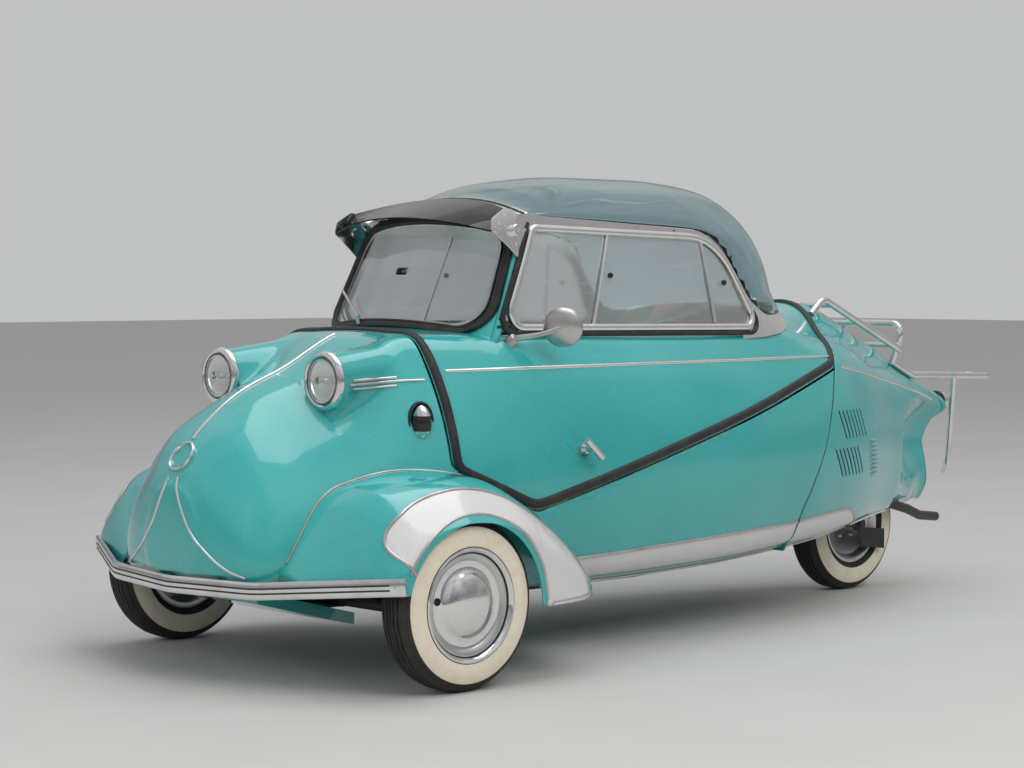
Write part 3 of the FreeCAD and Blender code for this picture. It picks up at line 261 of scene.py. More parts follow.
class Wire:
    """A shader value that the usual operators work on."""

    def __init__(self, graph: "Graph", socket: Any) -> None:
        """Holds the graph and one output socket or number."""
        self.graph = graph
        self.socket = socket

    def _math(self, operation: str, *values: Any) -> "Wire":
        """Adds a Math node on the values."""
        node = self.graph.node("ShaderNodeMath", {"operation": operation}, list(values))
        return Wire(self.graph, node.outputs[0])

    def __add__(self, other: Any) -> "Wire":
        """Sum."""
        return self._math("ADD", self, other)

    __radd__ = __add__

    def __rsub__(self, other: Any) -> "Wire":
        """Difference from a number."""
        return self._math("SUBTRACT", other, self)

    def __mul__(self, other: Any) -> "Wire":
        """Product."""
        return self._math("MULTIPLY", self, other)

    __rmul__ = __mul__

    def step(self, low: float, high: float) -> "Wire":
        """Rises smoothly from 0 at low to 1 at high."""
        node = self.graph.node("ShaderNodeMapRange", {"interpolation_type": "SMOOTHSTEP"},
                               {"Value": self, "From Min": low, "From Max": high})
        return Wire(self.graph, node.outputs[0])


class Tree:
    """Node tree with short ways to add, feed and join nodes."""

    def __init__(self, tree: bpy.types.NodeTree) -> None:
        """Empties a tree."""
        self.tree = tree
        self.tree.nodes.clear()

    def link(self, source: Any, target: Any) -> None:
        """Joins an output to an input."""
        self.tree.links.new(source, target)

    def node(self, kind: str, settings: dict[str, Any], inputs: Any) -> Any:
        """Makes a node.

        Args:
            kind: Type of the node.
            settings: Properties set first; "stops" sets a colour ramp.
            inputs: Values or wires by socket name, or in a list by place.

        Returns:
            The node.
        """
        made = self.tree.nodes.new(kind)
        for key, value in settings.items():
            if key == "stops":
                self._ramp(made, value)
            else:
                setattr(made, key, value)
        pairs = enumerate(inputs) if isinstance(inputs, list) else inputs.items()
        for key, value in pairs:
            self.feed(made.inputs[key], value)
        return made

    @staticmethod
    def _ramp(made: Any, stops: Sequence[tuple[float, tuple[float, float, float]]]) -> None:
        """Sets the stops of a colour ramp."""
        elements = made.color_ramp.elements
        while len(elements) > 1:
            elements.remove(elements[-1])
        for i, (place, colour) in enumerate(stops):
            element = elements[0] if i == 0 else elements.new(place)
            element.position = place
            element.color = (*colour, 1.0)

    def feed(self, socket: Any, value: Any) -> None:
        """Sets a socket to a number or colour, or links a wire to it."""
        if isinstance(value, Wire):
            value = value.socket
        if isinstance(value, bpy.types.NodeSocket):
            self.link(value, socket)
        elif isinstance(value,
                        tuple) and len(value) == 3 and len(getattr(socket, "default_value", ())) == 4:
            socket.default_value = (*value, 1.0)
        else:
            socket.default_value = value

    def blend(self, share: Any, a: Any, b: Any, kind: str = "MIX") -> Any:
        """Colour between a and b."""
        made = self.node("ShaderNodeMix", {"data_type": "RGBA", "blend_type": kind}, {})
        for index, value in ((0, share), (6, a), (7, b)):
            self.feed(made.inputs[index], value)
        return made.outputs[2]


class Graph(Tree):
    """Node tree of one material with a Principled shader."""

    def __init__(self, name: str) -> None:
        """Starts a material with an output and a Principled shader."""
        self.material = bpy.data.materials.new(name)
        self.material.use_nodes = True
        super().__init__(self.material.node_tree)
        self.shader = self.node("ShaderNodeBsdfPrincipled", {}, {})
        self.output = self.node("ShaderNodeOutputMaterial", {}, {})
        self.link(self.shader.outputs[0], self.output.inputs[0])

    def place(self) -> Any:
        """Object coordinates."""
        return self.node("ShaderNodeTexCoord", {}, {}).outputs["Object"]

    def noise(self, scale: float, detail: float = 3.0, rough: float = 0.55,
              stretch: Point = (1, 1, 1)) -> Wire:
        """Noise between about 0.3 and 0.7, stretched along an axis by a small factor."""
        mapped = self.node("ShaderNodeMapping", {}, {"Vector": self.place(), "Scale": stretch})
        made = self.node("ShaderNodeTexNoise", {},
                         {"Vector": mapped.outputs[0], "Scale": scale, "Detail": detail,
                          "Roughness": rough})
        return Wire(self, made.outputs[0])

    def bump(self, height: Wire, strength: float, distance: float, onto: Any = None) -> Any:
        """Normal from a height."""
        inputs = {"Height": height, "Strength": strength, "Distance": distance}
        if onto is not None:
            inputs["Normal"] = onto
        return self.node("ShaderNodeBump", {}, inputs).outputs[0]

    def finish(self, **inputs: Any) -> bpy.types.Material:
        """Feeds the Principled shader; an underscore in a name stands for a space."""
        for key, value in inputs.items():
            self.feed(self.shader.inputs[key.replace("_", " ")], value)
        return self.material


_MADE: dict[Any, bpy.types.Material] = {}


@dataclass(frozen=True)
class Finish:
    """A named surface and the record's slot that it belongs to."""

    name: str
    slot: str

    def material(self) -> bpy.types.Material:
        """The material, built once."""
        if self not in _MADE:
            _MADE[self] = self.build()
        return _MADE[self]

    def build(self) -> bpy.types.Material:
        """Builds the node tree."""
        raise NotImplementedError


@dataclass(frozen=True)
class Paint(Finish):
    """Glossy cellulose paint with soft waves, dust and faint orange peel."""

    colour: Point = (0.020, 0.330, 0.325)
    faded: Point = (0.045, 0.390, 0.375)
    gloss: float = 0.16

    def build(self) -> bpy.types.Material:
        """Builds the paint."""
        g = Graph(self.name)
        cloud = g.noise(2.2, 4.0).step(0.35, 0.68)
        speck = g.noise(260.0, 2.0).step(0.60, 0.74)
        grime = g.noise(9.0, 6.0, 0.7).step(0.52, 0.80)
        height = Wire(g, g.node("ShaderNodeSeparateXYZ", {}, [g.place()]).outputs[2])
        low = 1.0 - height.step(0.16, 0.42)
        base = g.blend(cloud * 0.55, self.colour, self.faded)
        base = g.blend(grime * low * 0.30, base, (0.30, 0.29, 0.24))
        base = g.blend(speck * 0.10, base, (0.75, 0.75, 0.70))
        rough = self.gloss + grime * 0.10 + low * 0.12 + speck * 0.1
        peel = g.noise(420.0, 1.0)
        wave = g.noise(5.0, 2.0)
        normal = g.bump(peel, 0.05, 0.0004, g.bump(wave, 0.12, 0.010))
        return g.finish(Base_Color=base, Roughness=rough, Coat_Weight=0.9, Coat_Roughness=0.035,
                        IOR=1.5, Normal=normal)


@dataclass(frozen=True)
class Metal(Finish):
    """Plated or polished metal with pits, haze and drawn streaks."""

    colour: Point = (0.80, 0.80, 0.79)
    dull: Point = (0.42, 0.40, 0.37)
    rough: float = 0.09
    wear: float = 0.35
    streak: Point = (1.0, 1.0, 1.0)

    def build(self) -> bpy.types.Material:
        """Builds the metal."""
        g = Graph(self.name)
        haze = g.noise(14.0, 5.0, 0.6).step(0.42, 0.75)
        pits = g.noise(300.0, 3.0, 0.7).step(0.60, 0.72)
        lines = g.noise(160.0, 2.0, 0.5, self.streak)
        base = g.blend(haze * self.wear, self.colour, self.dull)
        base = g.blend(pits * self.wear * 0.8, base, (0.16, 0.14, 0.12))
        rough = self.rough + haze * 0.14 * self.wear + pits * 0.35 * self.wear + lines * 0.08 * self.wear
        return g.finish(Base_Color=base, Metallic=1.0, Roughness=rough,
                        Normal=g.bump(lines + pits * 0.5, 0.06 + 0.10 * self.wear, 0.0006))


@dataclass(frozen=True)
class Rubber(Finish):
    """Black or cream rubber with dust and fine grain."""

    colour: Point = (0.012, 0.012, 0.013)
    dusty: Point = (0.06, 0.055, 0.05)
    rough: float = 0.45
    grain: float = 0.2

    def build(self) -> bpy.types.Material:
        """Builds the rubber."""
        g = Graph(self.name)
        dust = g.noise(22.0, 5.0, 0.65).step(0.40, 0.75)
        fine = g.noise(500.0, 2.0)
        base = g.blend(dust * 0.6, self.colour, self.dusty)
        return g.finish(Base_Color=base, Roughness=self.rough + dust * 0.25 + fine * 0.08,
                        Normal=g.bump(fine, self.grain, 0.0006))


@dataclass(frozen=True)
class Glass(Finish):
    """Clear or tinted glazing with haze and fine polishing scratches."""

    colour: Point = (0.95, 0.97, 0.97)
    haze: float = 0.02
    scratch: float = 0.10
    clear: float = 1.0
    ior: float = 1.46

    def build(self) -> bpy.types.Material:
        """Builds the glazing."""
        g = Graph(self.name)
        blur = g.noise(7.0, 4.0).step(0.40, 0.75)
        lines = g.noise(90.0, 4.0, 0.6, (0.06, 1.0, 1.0))
        rough = self.haze + blur * self.haze + lines.step(0.56, 0.75) * self.scratch
        return g.finish(Base_Color=self.colour, Roughness=rough, Transmission_Weight=self.clear,
                        IOR=self.ior)


@dataclass(frozen=True)
class Vinyl(Finish):
    """Seat cover with leather grain, creases and worn tops."""

    colour: Point = (0.42, 0.29, 0.16)
    worn: Point = (0.55, 0.43, 0.28)

    def build(self) -> bpy.types.Material:
        """Builds the cover."""
        g = Graph(self.name)
        mapped = g.node("ShaderNodeMapping", {}, {"Vector": g.place()})
        cells = g.node("ShaderNodeTexVoronoi", {"feature": "DISTANCE_TO_EDGE"},
                       {"Vector": mapped.outputs[0], "Scale": 260.0})
        grain = Wire(g, cells.outputs["Distance"]).step(0.0, 0.12)
        patch = g.noise(6.0, 4.0).step(0.40, 0.70)
        crease = g.noise(30.0, 4.0, 0.7, (1.0, 0.3, 1.0))
        base = g.blend(patch * 0.7, self.colour, self.worn)
        base = g.blend((1.0 - grain) * 0.25, base, (0.10, 0.06, 0.03))
        return g.finish(Base_Color=base, Roughness=0.42 + patch * 0.15,
                        Normal=g.bump(grain, 0.25, 0.0005, g.bump(crease, 0.15, 0.004)))


@dataclass(frozen=True)
class Plain(Finish):
    """Painted, cast or moulded surface with small changes of shade."""

    colour: Point = (0.02, 0.02, 0.02)
    other: Point = (0.05, 0.045, 0.04)
    rough: float = 0.5
    metallic: float = 0.0
    grain: float = 120.0

    def build(self) -> bpy.types.Material:
        """Builds the surface."""
        g = Graph(self.name)
        patch = g.noise(16.0, 5.0, 0.65).step(0.40, 0.72)
        fine = g.noise(self.grain, 3.0)
        base = g.blend(patch * 0.7, self.colour, self.other)
        return g.finish(Base_Color=base, Metallic=self.metallic, Roughness=self.rough + patch * 0.15,
                        Normal=g.bump(fine, 0.15, 0.0008))


TEAL = Paint("turquoise_paint", "paint_body")
WHITE = Paint("white_paint", "paint_body", colour=(0.57, 0.56, 0.565), faded=(0.63, 0.62, 0.62), gloss=0.22)
CHROME = Metal("aged_chrome", "chrome_trim")
BRIGHT = Metal("bright_chrome", "chrome_trim", rough=0.05, wear=0.18)
ALLOY = Metal("polished_aluminium", "alloy_frame", colour=(0.90, 0.89, 0.87), dull=(0.70, 0.68, 0.65),
              rough=0.20, wear=0.25)
BEAD = Metal("dull_trim", "alloy_frame", colour=(0.62, 0.60, 0.58), dull=(0.36, 0.33, 0.30), rough=0.30,
             wear=0.6)
SILVER = Metal("wheel_silver", "wheel_silver", colour=(0.62, 0.62, 0.61), rough=0.30, wear=0.4)
BLACK_RUBBER = Rubber("black_rubber", "rubber_seal")
TYRE = Rubber("tyre_black", "tyre_rubber", colour=(0.014, 0.013, 0.013), dusty=(0.055, 0.048, 0.04),
              rough=0.62, grain=0.4)
CREAM = Rubber("cream_sidewall", "tyre_rubber", colour=(0.72, 0.66, 0.53), dusty=(0.60, 0.50, 0.37),
               rough=0.5, grain=0.1)
CLEAR = Glass("clear_glazing", "glass_clear", haze=0.012, scratch=0.05)
PLEXI = Glass("scratched_pane", "glass_clear", colour=(0.94, 0.96, 0.96), haze=0.04, scratch=0.22,
              clear=0.86)
DOME = Glass("smoke_dome", "dome_smoke", colour=(0.70, 0.90, 0.92), haze=0.006, scratch=0.02, ior=1.5)
VISOR = Glass("smoke_visor", "visor_smoke", colour=(0.05, 0.05, 0.055), haze=0.03, scratch=0.06)
LENS = Glass("lamp_lens", "glass_clear", haze=0.06, scratch=0.02, clear=0.93)
RED = Glass("red_lens", "lamp_red", colour=(0.55, 0.02, 0.015), haze=0.06, scratch=0.02)
DARK_LENS = Plain("dark_lens", "lamp_amber", colour=(0.012, 0.010, 0.010), other=(0.03, 0.02, 0.015),
                  rough=0.08)
SEAT = Vinyl("tan_vinyl", "seat_vinyl")
STEEL = Plain("black_steel", "steel_black")
# Near-black finish that paints shade in openings: under the pressed louvres' lips, behind the tail's slots
# and in the hub disc's hole
DARK = Plain("painted_shade_black", "steel_black", colour=(0.006, 0.006, 0.006), other=(0.01, 0.01, 0.01),
             rough=0.7)
ENGINE = Plain("cast_engine", "engine_alloy", colour=(0.20, 0.19, 0.18), other=(0.10, 0.09, 0.08),
               rough=0.5, metallic=0.8)
# Matte copy of the turquoise paint, made darker: the matte is the inner paint's own, the darkening is
# painted shade on the panels' inner faces and on the dashboard, bulkhead and bench box
SHADED_TEAL = Plain("painted_shade_teal", "paint_body", colour=(0.03, 0.20, 0.18), other=(0.05, 0.16, 0.14), rough=0.5)

# Meshes

WELD = 0.00002
BOX_FACES = ((0, 1, 3, 2), (4, 6, 7, 5), (0, 4, 5, 1), (2, 3, 7, 6), (0, 2, 6, 4), (1, 5, 7, 3))
# Where rays start that look for a surface from the side or the front, and from above
RAY_SIDE = 900.0
RAY_TOP = 1500.0


def piece(name: str, verts: Sequence[Any], faces: Sequence[Sequence[int]], finishes: Sequence[Finish],
          body: Body, index: Sequence[int] | None = None, sharp: float = 35.0) -> bpy.types.Object:
    """Makes an object that rides on a body.

    Args:
        name: Name of the piece.
        verts: Points in millimetres from the front axle.
        faces: Vertex numbers of each face.
        finishes: Finishes by material number.
        body: Body that it moves with.
        index: Material number of each face, if not all 0.
        sharp: Edges that turn more than this many degrees stay sharp.

    Returns:
        The object.
    """
    mesh = bpy.data.meshes.new(name)
    mesh.from_pydata([((v[0] + FRONT_AXLE_X) * MM, v[1] * MM, v[2] * MM) for v in verts], [], faces)
    for finish in finishes:
        mesh.materials.append(finish.material())
    if index is not None:
        mesh.polygons.foreach_set("material_index", list(index))
    mesh.validate()
    clean = bmesh.new()
    clean.from_mesh(mesh)
    bmesh.ops.remove_doubles(clean, verts=clean.verts, dist=WELD)
    bmesh.ops.recalc_face_normals(clean, faces=clean.faces)
    clean.to_mesh(mesh)
    clean.free()
    mesh.shade_smooth()
    mesh.set_sharp_from_angle(angle=math.radians(sharp))
    made = bpy.data.objects.new(name, mesh)
    bpy.context.scene.collection.objects.link(made)
    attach(made, body.value)
    LOG.info("%s: %d faces on %s", name, len(mesh.polygons), body.value)
    return made


@dataclass
class Soup:
    """Faces gathered for one piece."""

    verts: list[Any] = field(default_factory=list)
    faces: list[tuple[int, ...]] = field(default_factory=list)
    index: list[int] = field(default_factory=list)

    def add(self, verts: Sequence[Any], faces: Sequence[Sequence[int]], material: int = 0) -> "Soup":
        """Adds a closed form."""
        base = len(self.verts)
        self.verts += [tuple(float(c) for c in v) for v in verts]
        self.faces += [tuple(base + i for i in f) for f in faces]
        self.index += [material] * len(faces)
        return self

    def grid(self, rows: Sequence[Sequence[Any]], material: int = 0, around: bool = False,
             ends: bool = False) -> "Soup":
        """Adds a sheet through rows of points.

        Args:
            rows: Rows with the same count of points.
            material: Material number.
            around: Whether each row is a ring.
            ends: Whether the first and last ring are closed.
        """
        count = len(rows[0])
        verts = [p for row in rows for p in row]
        faces = []
        for i in range(len(rows) - 1):
            for j in range(count if around else count - 1):
                k = (j + 1) % count
                faces.append((i * count + j, i * count + k, (i + 1) * count + k, (i + 1) * count + j))
        if ends:
            faces.append(tuple(range(count)))
            faces.append(tuple(range(len(verts) - count, len(verts))))
        return self.add(verts, faces, material)

    def lathe(self, profile: Sequence[Flat], centre: Any, axis: Any, steps: int = 64, closed: bool = False,
              material: int = 0) -> "Soup":
        """Adds (radius, along) points turned about an axis."""
        return self.grid(turned(profile, centre, axis, steps, closed), material, around=True)

    def sweep(self, points: Sequence[Any], normals: Sequence[Any], profile: Sequence[Flat],
              material: int = 0) -> "Soup":
        """Adds a capped profile swept along a line on a surface."""
        return self.grid(band(points, normals, profile), material, around=True, ends=True)

    def bead(self, hits: Sequence[Any], profile: Sequence[Flat], material: int = 0) -> "Soup":
        """Adds a capped profile swept along places that come with their normals."""
        return self.sweep([place for place, _ in hits], [normal for _, normal in hits], profile, material)

    def box(self, low: Point, high: Point, material: int = 0) -> "Soup":
        """Adds a box between two corners."""
        verts = [(x, y, z) for x in (low[0], high[0]) for y in (low[1], high[1]) for z in (low[2], high[2])]
        return self.add(verts, BOX_FACES, material)

    def mirrored(self) -> "Soup":
        """The same on the other side of the car."""
        return Soup([(x, -y, z) for x, y, z in self.verts], [tuple(reversed(f)) for f in self.faces],
                    list(self.index))

    def join(self, other: "Soup") -> "Soup":
        """Adds another soup."""
        base = len(self.verts)
        self.verts += other.verts
        self.faces += [tuple(base + i for i in f) for f in other.faces]
        self.index += other.index
        return self

    def make(self, name: str, finishes: Sequence[Finish], body: Body,
             sharp: float = 35.0) -> bpy.types.Object:
        """Makes the piece."""
        return piece(name, self.verts, self.faces, finishes, body, self.index, sharp)


def turned(profile: Sequence[Flat], centre: Point, axis: Point, steps: int = 64,
           closed: bool = False) -> list[list[np.ndarray]]:
    """Rings of (radius, along) points turned about an axis, one row for each profile point."""
    a = np.asarray(axis, float)
    a = a / np.linalg.norm(a)
    side = np.cross(a, (0.0, 0.0, 1.0) if abs(a[2]) < 0.9 else (1.0, 0.0, 0.0))
    side = side / np.linalg.norm(side)
    up = np.cross(side, a)
    c = np.asarray(centre, float)
    points = list(profile) + ([profile[0]] if closed else [])
    return [[c + a * along + radius * (side * math.cos(t) + up * math.sin(t))
             for t in (2 * math.pi * k / steps for k in range(steps))] for radius, along in points]


def pipe(points: Sequence[Any], radius: Callable[[float], float], sides: int) -> list[list[np.ndarray]]:
    """Rings of a round tube along points, its radius a function of the share of the way."""
    pts = [np.asarray(p, float) for p in points]
    count = len(pts)
    rings = []
    normal = None
    for i, p in enumerate(pts):
        ahead, behind = pts[min(i + 1, count - 1)], pts[max(i - 1, 0)]
        along = ahead - behind
        along = along / max(np.linalg.norm(along), 1e-9)
        if normal is None:
            normal = np.cross(along, (0.0, 0.0, 1.0) if abs(along[2]) < 0.9 else (1.0, 0.0, 0.0))
        normal = normal - along * np.dot(normal, along)
        normal = normal / np.linalg.norm(normal)
        other = np.cross(along, normal)
        r = radius(i / max(count - 1, 1))
        rings.append([p + r * (normal * math.cos(t) + other * math.sin(t))
                      for t in (2 * math.pi * k / sides for k in range(sides))])
    return rings


def band(points: Sequence[Any], normals: Sequence[Any], profile: Sequence[Flat],
         closed: bool = False) -> list[list[np.ndarray]]:
    """Rings of a closed profile of (sideways, outward) points swept along a line on a surface."""
    pts = [np.asarray(p, float) for p in points]
    count = len(pts)
    rings = []
    for i, p in enumerate(pts):
        ahead = pts[(i + 1) % count] if closed else pts[min(i + 1, count - 1)]
        behind = pts[i - 1] if closed or i else pts[0]
        along = ahead - behind
        along = along / max(np.linalg.norm(along), 1e-9)
        out = np.asarray(normals[i], float)
        out = out - along * np.dot(out, along)
        out = out / max(np.linalg.norm(out), 1e-9)
        across = np.cross(along, out)
        rings.append([p + across * s + out * o for s, o in profile])
    if closed:
        rings.append(rings[0])
    return rings


def raised(hits: Sequence[Any], out: float) -> list[tuple[np.ndarray, np.ndarray]]:
    """Places moved outward along their normals."""
    return [(place + normal * out, normal) for place, normal in hits]


def half_round(width: float, height: float, sunk: float = 1.0) -> list[Flat]:
    """Crowned strip that reaches a little into what carries it."""
    top = [(-width / 2 * math.cos(math.pi * k / 8), height * math.sin(math.pi * k / 8)) for k in range(9)]
    return top + [(width / 2, -sunk), (-width / 2, -sunk)]


def screw(soup: Soup, place: np.ndarray, normal: np.ndarray, radius: float, material: int = 0) -> None:
    """Adds a slotted round head seated on a surface."""
    head = turned([(0.01, 0.45 * radius), (0.6 * radius, 0.38 * radius), (radius, 0.1 * radius),
                   (radius, -0.4)], tuple(place), tuple(normal), 14)
    soup.grid(head, material, around=True, ends=True)


# A corner whose field is nearer to 0 than this lies on the cut
ON_LINE = 1e-4


def cut(mesh: bmesh.types.BMesh, inside: Field, drop: bool = True, mark: int = 0) -> None:
    """Splits faces where a field crosses 0, then drops or marks those where it is positive.

    Args:
        mesh: Mesh in millimetres.
        inside: Field of a point, negative where faces stay.
        drop: Whether faces with a positive field go.
        mark: Material number that they get otherwise.
    """
    value = {v: inside(*v.co) for v in mesh.verts}
    fresh = set()
    for edge in list(mesh.edges):
        a, b = edge.verts
        fa, fb = value[a], value[b]
        if fa * fb >= 0 or min(abs(fa), abs(fb)) < ON_LINE:
            continue
        low, high = 0.0, 1.0
        start, end = a.co.copy(), b.co.copy()
        for _ in range(9):
            t = (low + high) / 2
            if inside(*(start + (end - start) * t)) * fa > 0:
                low = t
            else:
                high = t
        _, vert = bmesh.utils.edge_split(edge, a, min(max((low + high) / 2, 0.01), 0.99))
        value[vert] = 0.0
        fresh.add(vert)
    fresh.update(v for v in mesh.verts if abs(value[v]) < ON_LINE)
    for face in list(mesh.faces):
        ring = list(face.verts)
        signs = [value[v] for v in ring]
        if max(signs) <= ON_LINE or min(signs) >= -ON_LINE:
            continue
        hits = [i for i, v in enumerate(ring) if v in fresh]
        if len(hits) == 2 and (hits[1] - hits[0]) % len(ring) not in (1, len(ring) - 1):
            bmesh.utils.face_split(face, ring[hits[0]], ring[hits[1]])
    gone = []
    for face in mesh.faces:
        total = sum(value[v] for v in face.verts)
        if total > 0 or (total == 0 and inside(*face.calc_center_median()) > 0):
            gone.append(face)
    if drop:
        bmesh.ops.delete(mesh, geom=gone, context="FACES")
    else:
        for face in gone:
            face.material_index = mark


def sheet_mesh(soup: Soup) -> bmesh.types.BMesh:
    """Loose sheet to cut, in millimetres."""
    mesh = bmesh.new()
    verts = [mesh.verts.new(v) for v in soup.verts]
    for face, index in zip(soup.faces, soup.index):
        made = mesh.faces.new([verts[i] for i in face])
        made.material_index = index
    bmesh.ops.remove_doubles(mesh, verts=mesh.verts, dist=0.01)
    return mesh


def thicken(made: bpy.types.Object, thickness: float, offset: float = -1.0) -> bpy.types.Modifier:
    """Gives a sheet its thickness in millimetres, inward unless an offset is given."""
    solid = made.modifiers.new("thickness", "SOLIDIFY")
    solid.thickness = thickness * MM
    solid.offset = offset
    return solid


def thick_piece(name: str, mesh: bmesh.types.BMesh, thickness: float, finishes: Sequence[Finish],
                body: Body, inner: int = 0, sharp: float = 35.0) -> bpy.types.Object:
    """Makes a shell of a cut sheet, its inner face in the finish of the given number."""
    verts = {v: i for i, v in enumerate(mesh.verts)}
    used = [tuple(v.co) for v in mesh.verts]
    faces = [[verts[v] for v in f.verts] for f in mesh.faces]
    index = [f.material_index for f in mesh.faces]
    mesh.free()
    made = piece(name, used, faces, finishes, body, index, sharp)
    solid = thicken(made, thickness)
    solid.use_rim = True
    solid.use_even_offset = False
    # Inner faces take the finish numbered inner; the shells give it the darker teal copy, which paints shade
    solid.material_offset = inner
    solid.material_offset_rim = 0
    return made


# Body skin


@dataclass
class Skin:
    """Painted skin as one smooth surface: floor, flanks, shoulders and crown from a few stations."""

    # x, z_bottom, y_floor, y_wide, z_wide, y_side, z_side, y_deck, z_deck, z_top
    stations: tuple[tuple[float, ...], ...] = (
        (396, 254, 88, 112, 300, 84, 415, 42, 452, 463),
        (380, 254, 160, 184, 288, 142, 420, 76, 482, 496),
        (350, 238, 232, 257, 272, 187, 440, 104, 522, 541),
        (300, 232, 268, 293, 282, 215, 490, 118, 574, 593),
        (200, 220, 286, 318, 305, 232, 530, 126, 622, 662),
        (80, 203, 303, 343, 345, 262, 570, 150, 668, 712),
        (-130, 182, 342, 392, 385, 345, 620, 245, 790, 803),
        (-365, 168, 370, 424, 420, 392, 650, 318, 792, 815),
        (-700, 166, 386, 440, 440, 412, 650, 334, 784, 818),
        (-1050, 172, 378, 438, 445, 404, 650, 330, 780, 822),
        (-1400, 188, 345, 410, 450, 368, 650, 298, 788, 845),
        (-1600, 200, 305, 370, 445, 336, 660, 236, 770, 856),
        (-1756, 213, 258, 322, 440, 288, 650, 180, 762, 863),
        (-2000, 229, 166, 218, 430, 196, 600, 124, 700, 779),
        (-2250, 242, 84, 122, 420, 114, 555, 78, 630, 668),
        (-2400, 246, 14, 44, 415, 68, 535, 46, 588, 602),
        (-2498, 250, 28, 42, 415, 38, 520, 26, 556, 566),
    )
    row_step: float = 12.0
    lamp: Point = (105.0, 203.0, 692.0)
    lamp_r: float = 66.0
    lamp_back: Point = (-150.0, 187.0, 727.0)
    lamp_back_r: float = 61.0
    fillet: float = 9.0
    nose_round: float = 9.0
    hollow: Point = (-2400.0, 180.0, 434.0)
    hollow_size: Point = (300.0, 164.0, 165.0)

    def __post_init__(self) -> None:
        """Fits a curve through each column and builds the ray tree."""
        rows = sorted(self.stations)
        xs = [r[0] for r in rows]
        self.curves = [monotone(xs, [r[k] for r in rows]) for k in range(1, 10)]
        self.front, self.rear = xs[-1], xs[0]
        self.rows = self._rows()
        soup = Soup().grid(self.rows, around=True, ends=True)
        self.tree = BVHTree.FromPolygons([Vector(v) for v in soup.verts], soup.faces)

    def half(self, x: float) -> np.ndarray:
        """Left half of a section from the floor's middle to the crown's middle, as (y, z)."""
        zb, yf, yw, zw, ys, zs, yd, zd, zt = [c(x) for c in self.curves]
        floor, wide, side, deck = (yf, zb), (yw, zw), (ys, zs), (yd, zd)

        def level(p: Flat) -> Flat:
            """Centre of the arc through p that is upright at the widest point."""
            rise = p[1] - zw
            return ((yw ** 2 - p[0] ** 2 - rise ** 2) / (2 * (yw - p[0])), zw)

        low, high = level(floor), level(side)
        out = (side[0] - high[0], side[1] - high[1])
        reach = math.hypot(*out)
        inward = (-out[0] / reach, -out[1] / reach)
        chord = (deck[0] - side[0], deck[1] - side[1])
        k = (chord[0] ** 2 + chord[1] ** 2) / (2 * (chord[0] * inward[0] + chord[1] * inward[1]))
        shoulder = (side[0] + inward[0] * k, side[1] + inward[1] * k)
        sag = max(zt - zd, 0.5)
        crown_r = (yd ** 2 + sag ** 2) / (2 * sag)
        line = [(yf * share, zb) for share in (0.0, 0.3, 0.55, 0.75)] + [(yf - back, zb)
                                                                         for back in (22.0, 11.0, 0.0)]
        line += arc_points(floor, wide, low, 8)
        line += arc_points(wide, side, high, 20)
        line += arc_points(side, deck, shoulder, 20)
        line += arc_points(deck, (0.0, zt), (0.0, zt - crown_r), 26)
        body = softened(np.array(line), 2)
        return self._with_hollow(x, self._with_lamp(x, body))

    def _with_hollow(self, x: float, line: np.ndarray) -> np.ndarray:
        """Draws the tail's flank in to the egg-shaped hollow below the beak."""
        (xc, yc, zc), (a, b, c) = self.hollow, self.hollow_size
        if abs(x - xc) > a:
            return line
        out = line.copy()
        for i, (y, z) in enumerate(line):
            rest = 1.0 - ((x - xc) / a) ** 2 - ((z - zc) / c) ** 2
            if rest > 0:
                out[i][0] = -soft_max((-y, b * math.sqrt(rest) - yc), 12.0)
        return softened(out, 2)

    def _with_lamp(self, x: float, line: np.ndarray) -> np.ndarray:
        """Swells a half section over the headlamp's housing."""
        (x1, y1, z1), (x0, y0, z0) = self.lamp, self.lamp_back
        if not x0 < x <= x1:
            return line
        t = (x - x0) / (x1 - x0)
        cy, cz, r = y0 + (y1 - y0) * t, z0 + (z1 - z0) * t, self.lamp_back_r + (self.lamp_r -
                                                                                self.lamp_back_r) * t
        hub = np.array([cy * 0.72, cz - 150.0])
        toward = np.array([cy, cz]) - hub
        out = line.copy()
        for i, p in enumerate(line):
            ray = p - hub
            reach = np.linalg.norm(ray)
            ray = ray / max(reach, 1e-6)
            along = float(np.dot(toward, ray))
            off = float(np.dot(toward, toward)) - along * along
            if along <= 0 or off > (r + 3 * self.fillet) ** 2:
                continue
            gap = r * r - off
            far = along + math.sqrt(gap) if gap > 0 else along - math.sqrt(-gap)
            out[i] = hub + ray * soft_max((reach, far), self.fillet)
        return softened(out, 1, 2)

    def _rows(self) -> list[list[Point]]:
        """Rings from the tail to the nose, its ends rounded."""
        stops = sorted({*np.arange(self.rear, self.front, self.row_step), self.front, self.lamp[0],
                        self.lamp[0] + 0.2, *(self.front - d for d in (2.0, 5.0, 9.0, 14.0, 20.0))})
        rows = []
        for x in stops:
            half = self.half(float(x))
            ring = [(float(x), y, z) for y, z in half] + [(float(x), -y, z) for y, z in half[-2:0:-1]]
            rows.append(ring)
        centre_z = sum(p[2] for p in rows[-1]) / len(rows[-1])
        for k in range(1, 7):
            angle = math.pi / 2 * k / 6
            share = max(math.cos(angle), 0.02)
            rows.append([(self.front + self.nose_round * math.sin(angle), y * share,
                          centre_z + (z - centre_z) * share) for _, y, z in rows[len(stops) - 1]])
        return rows

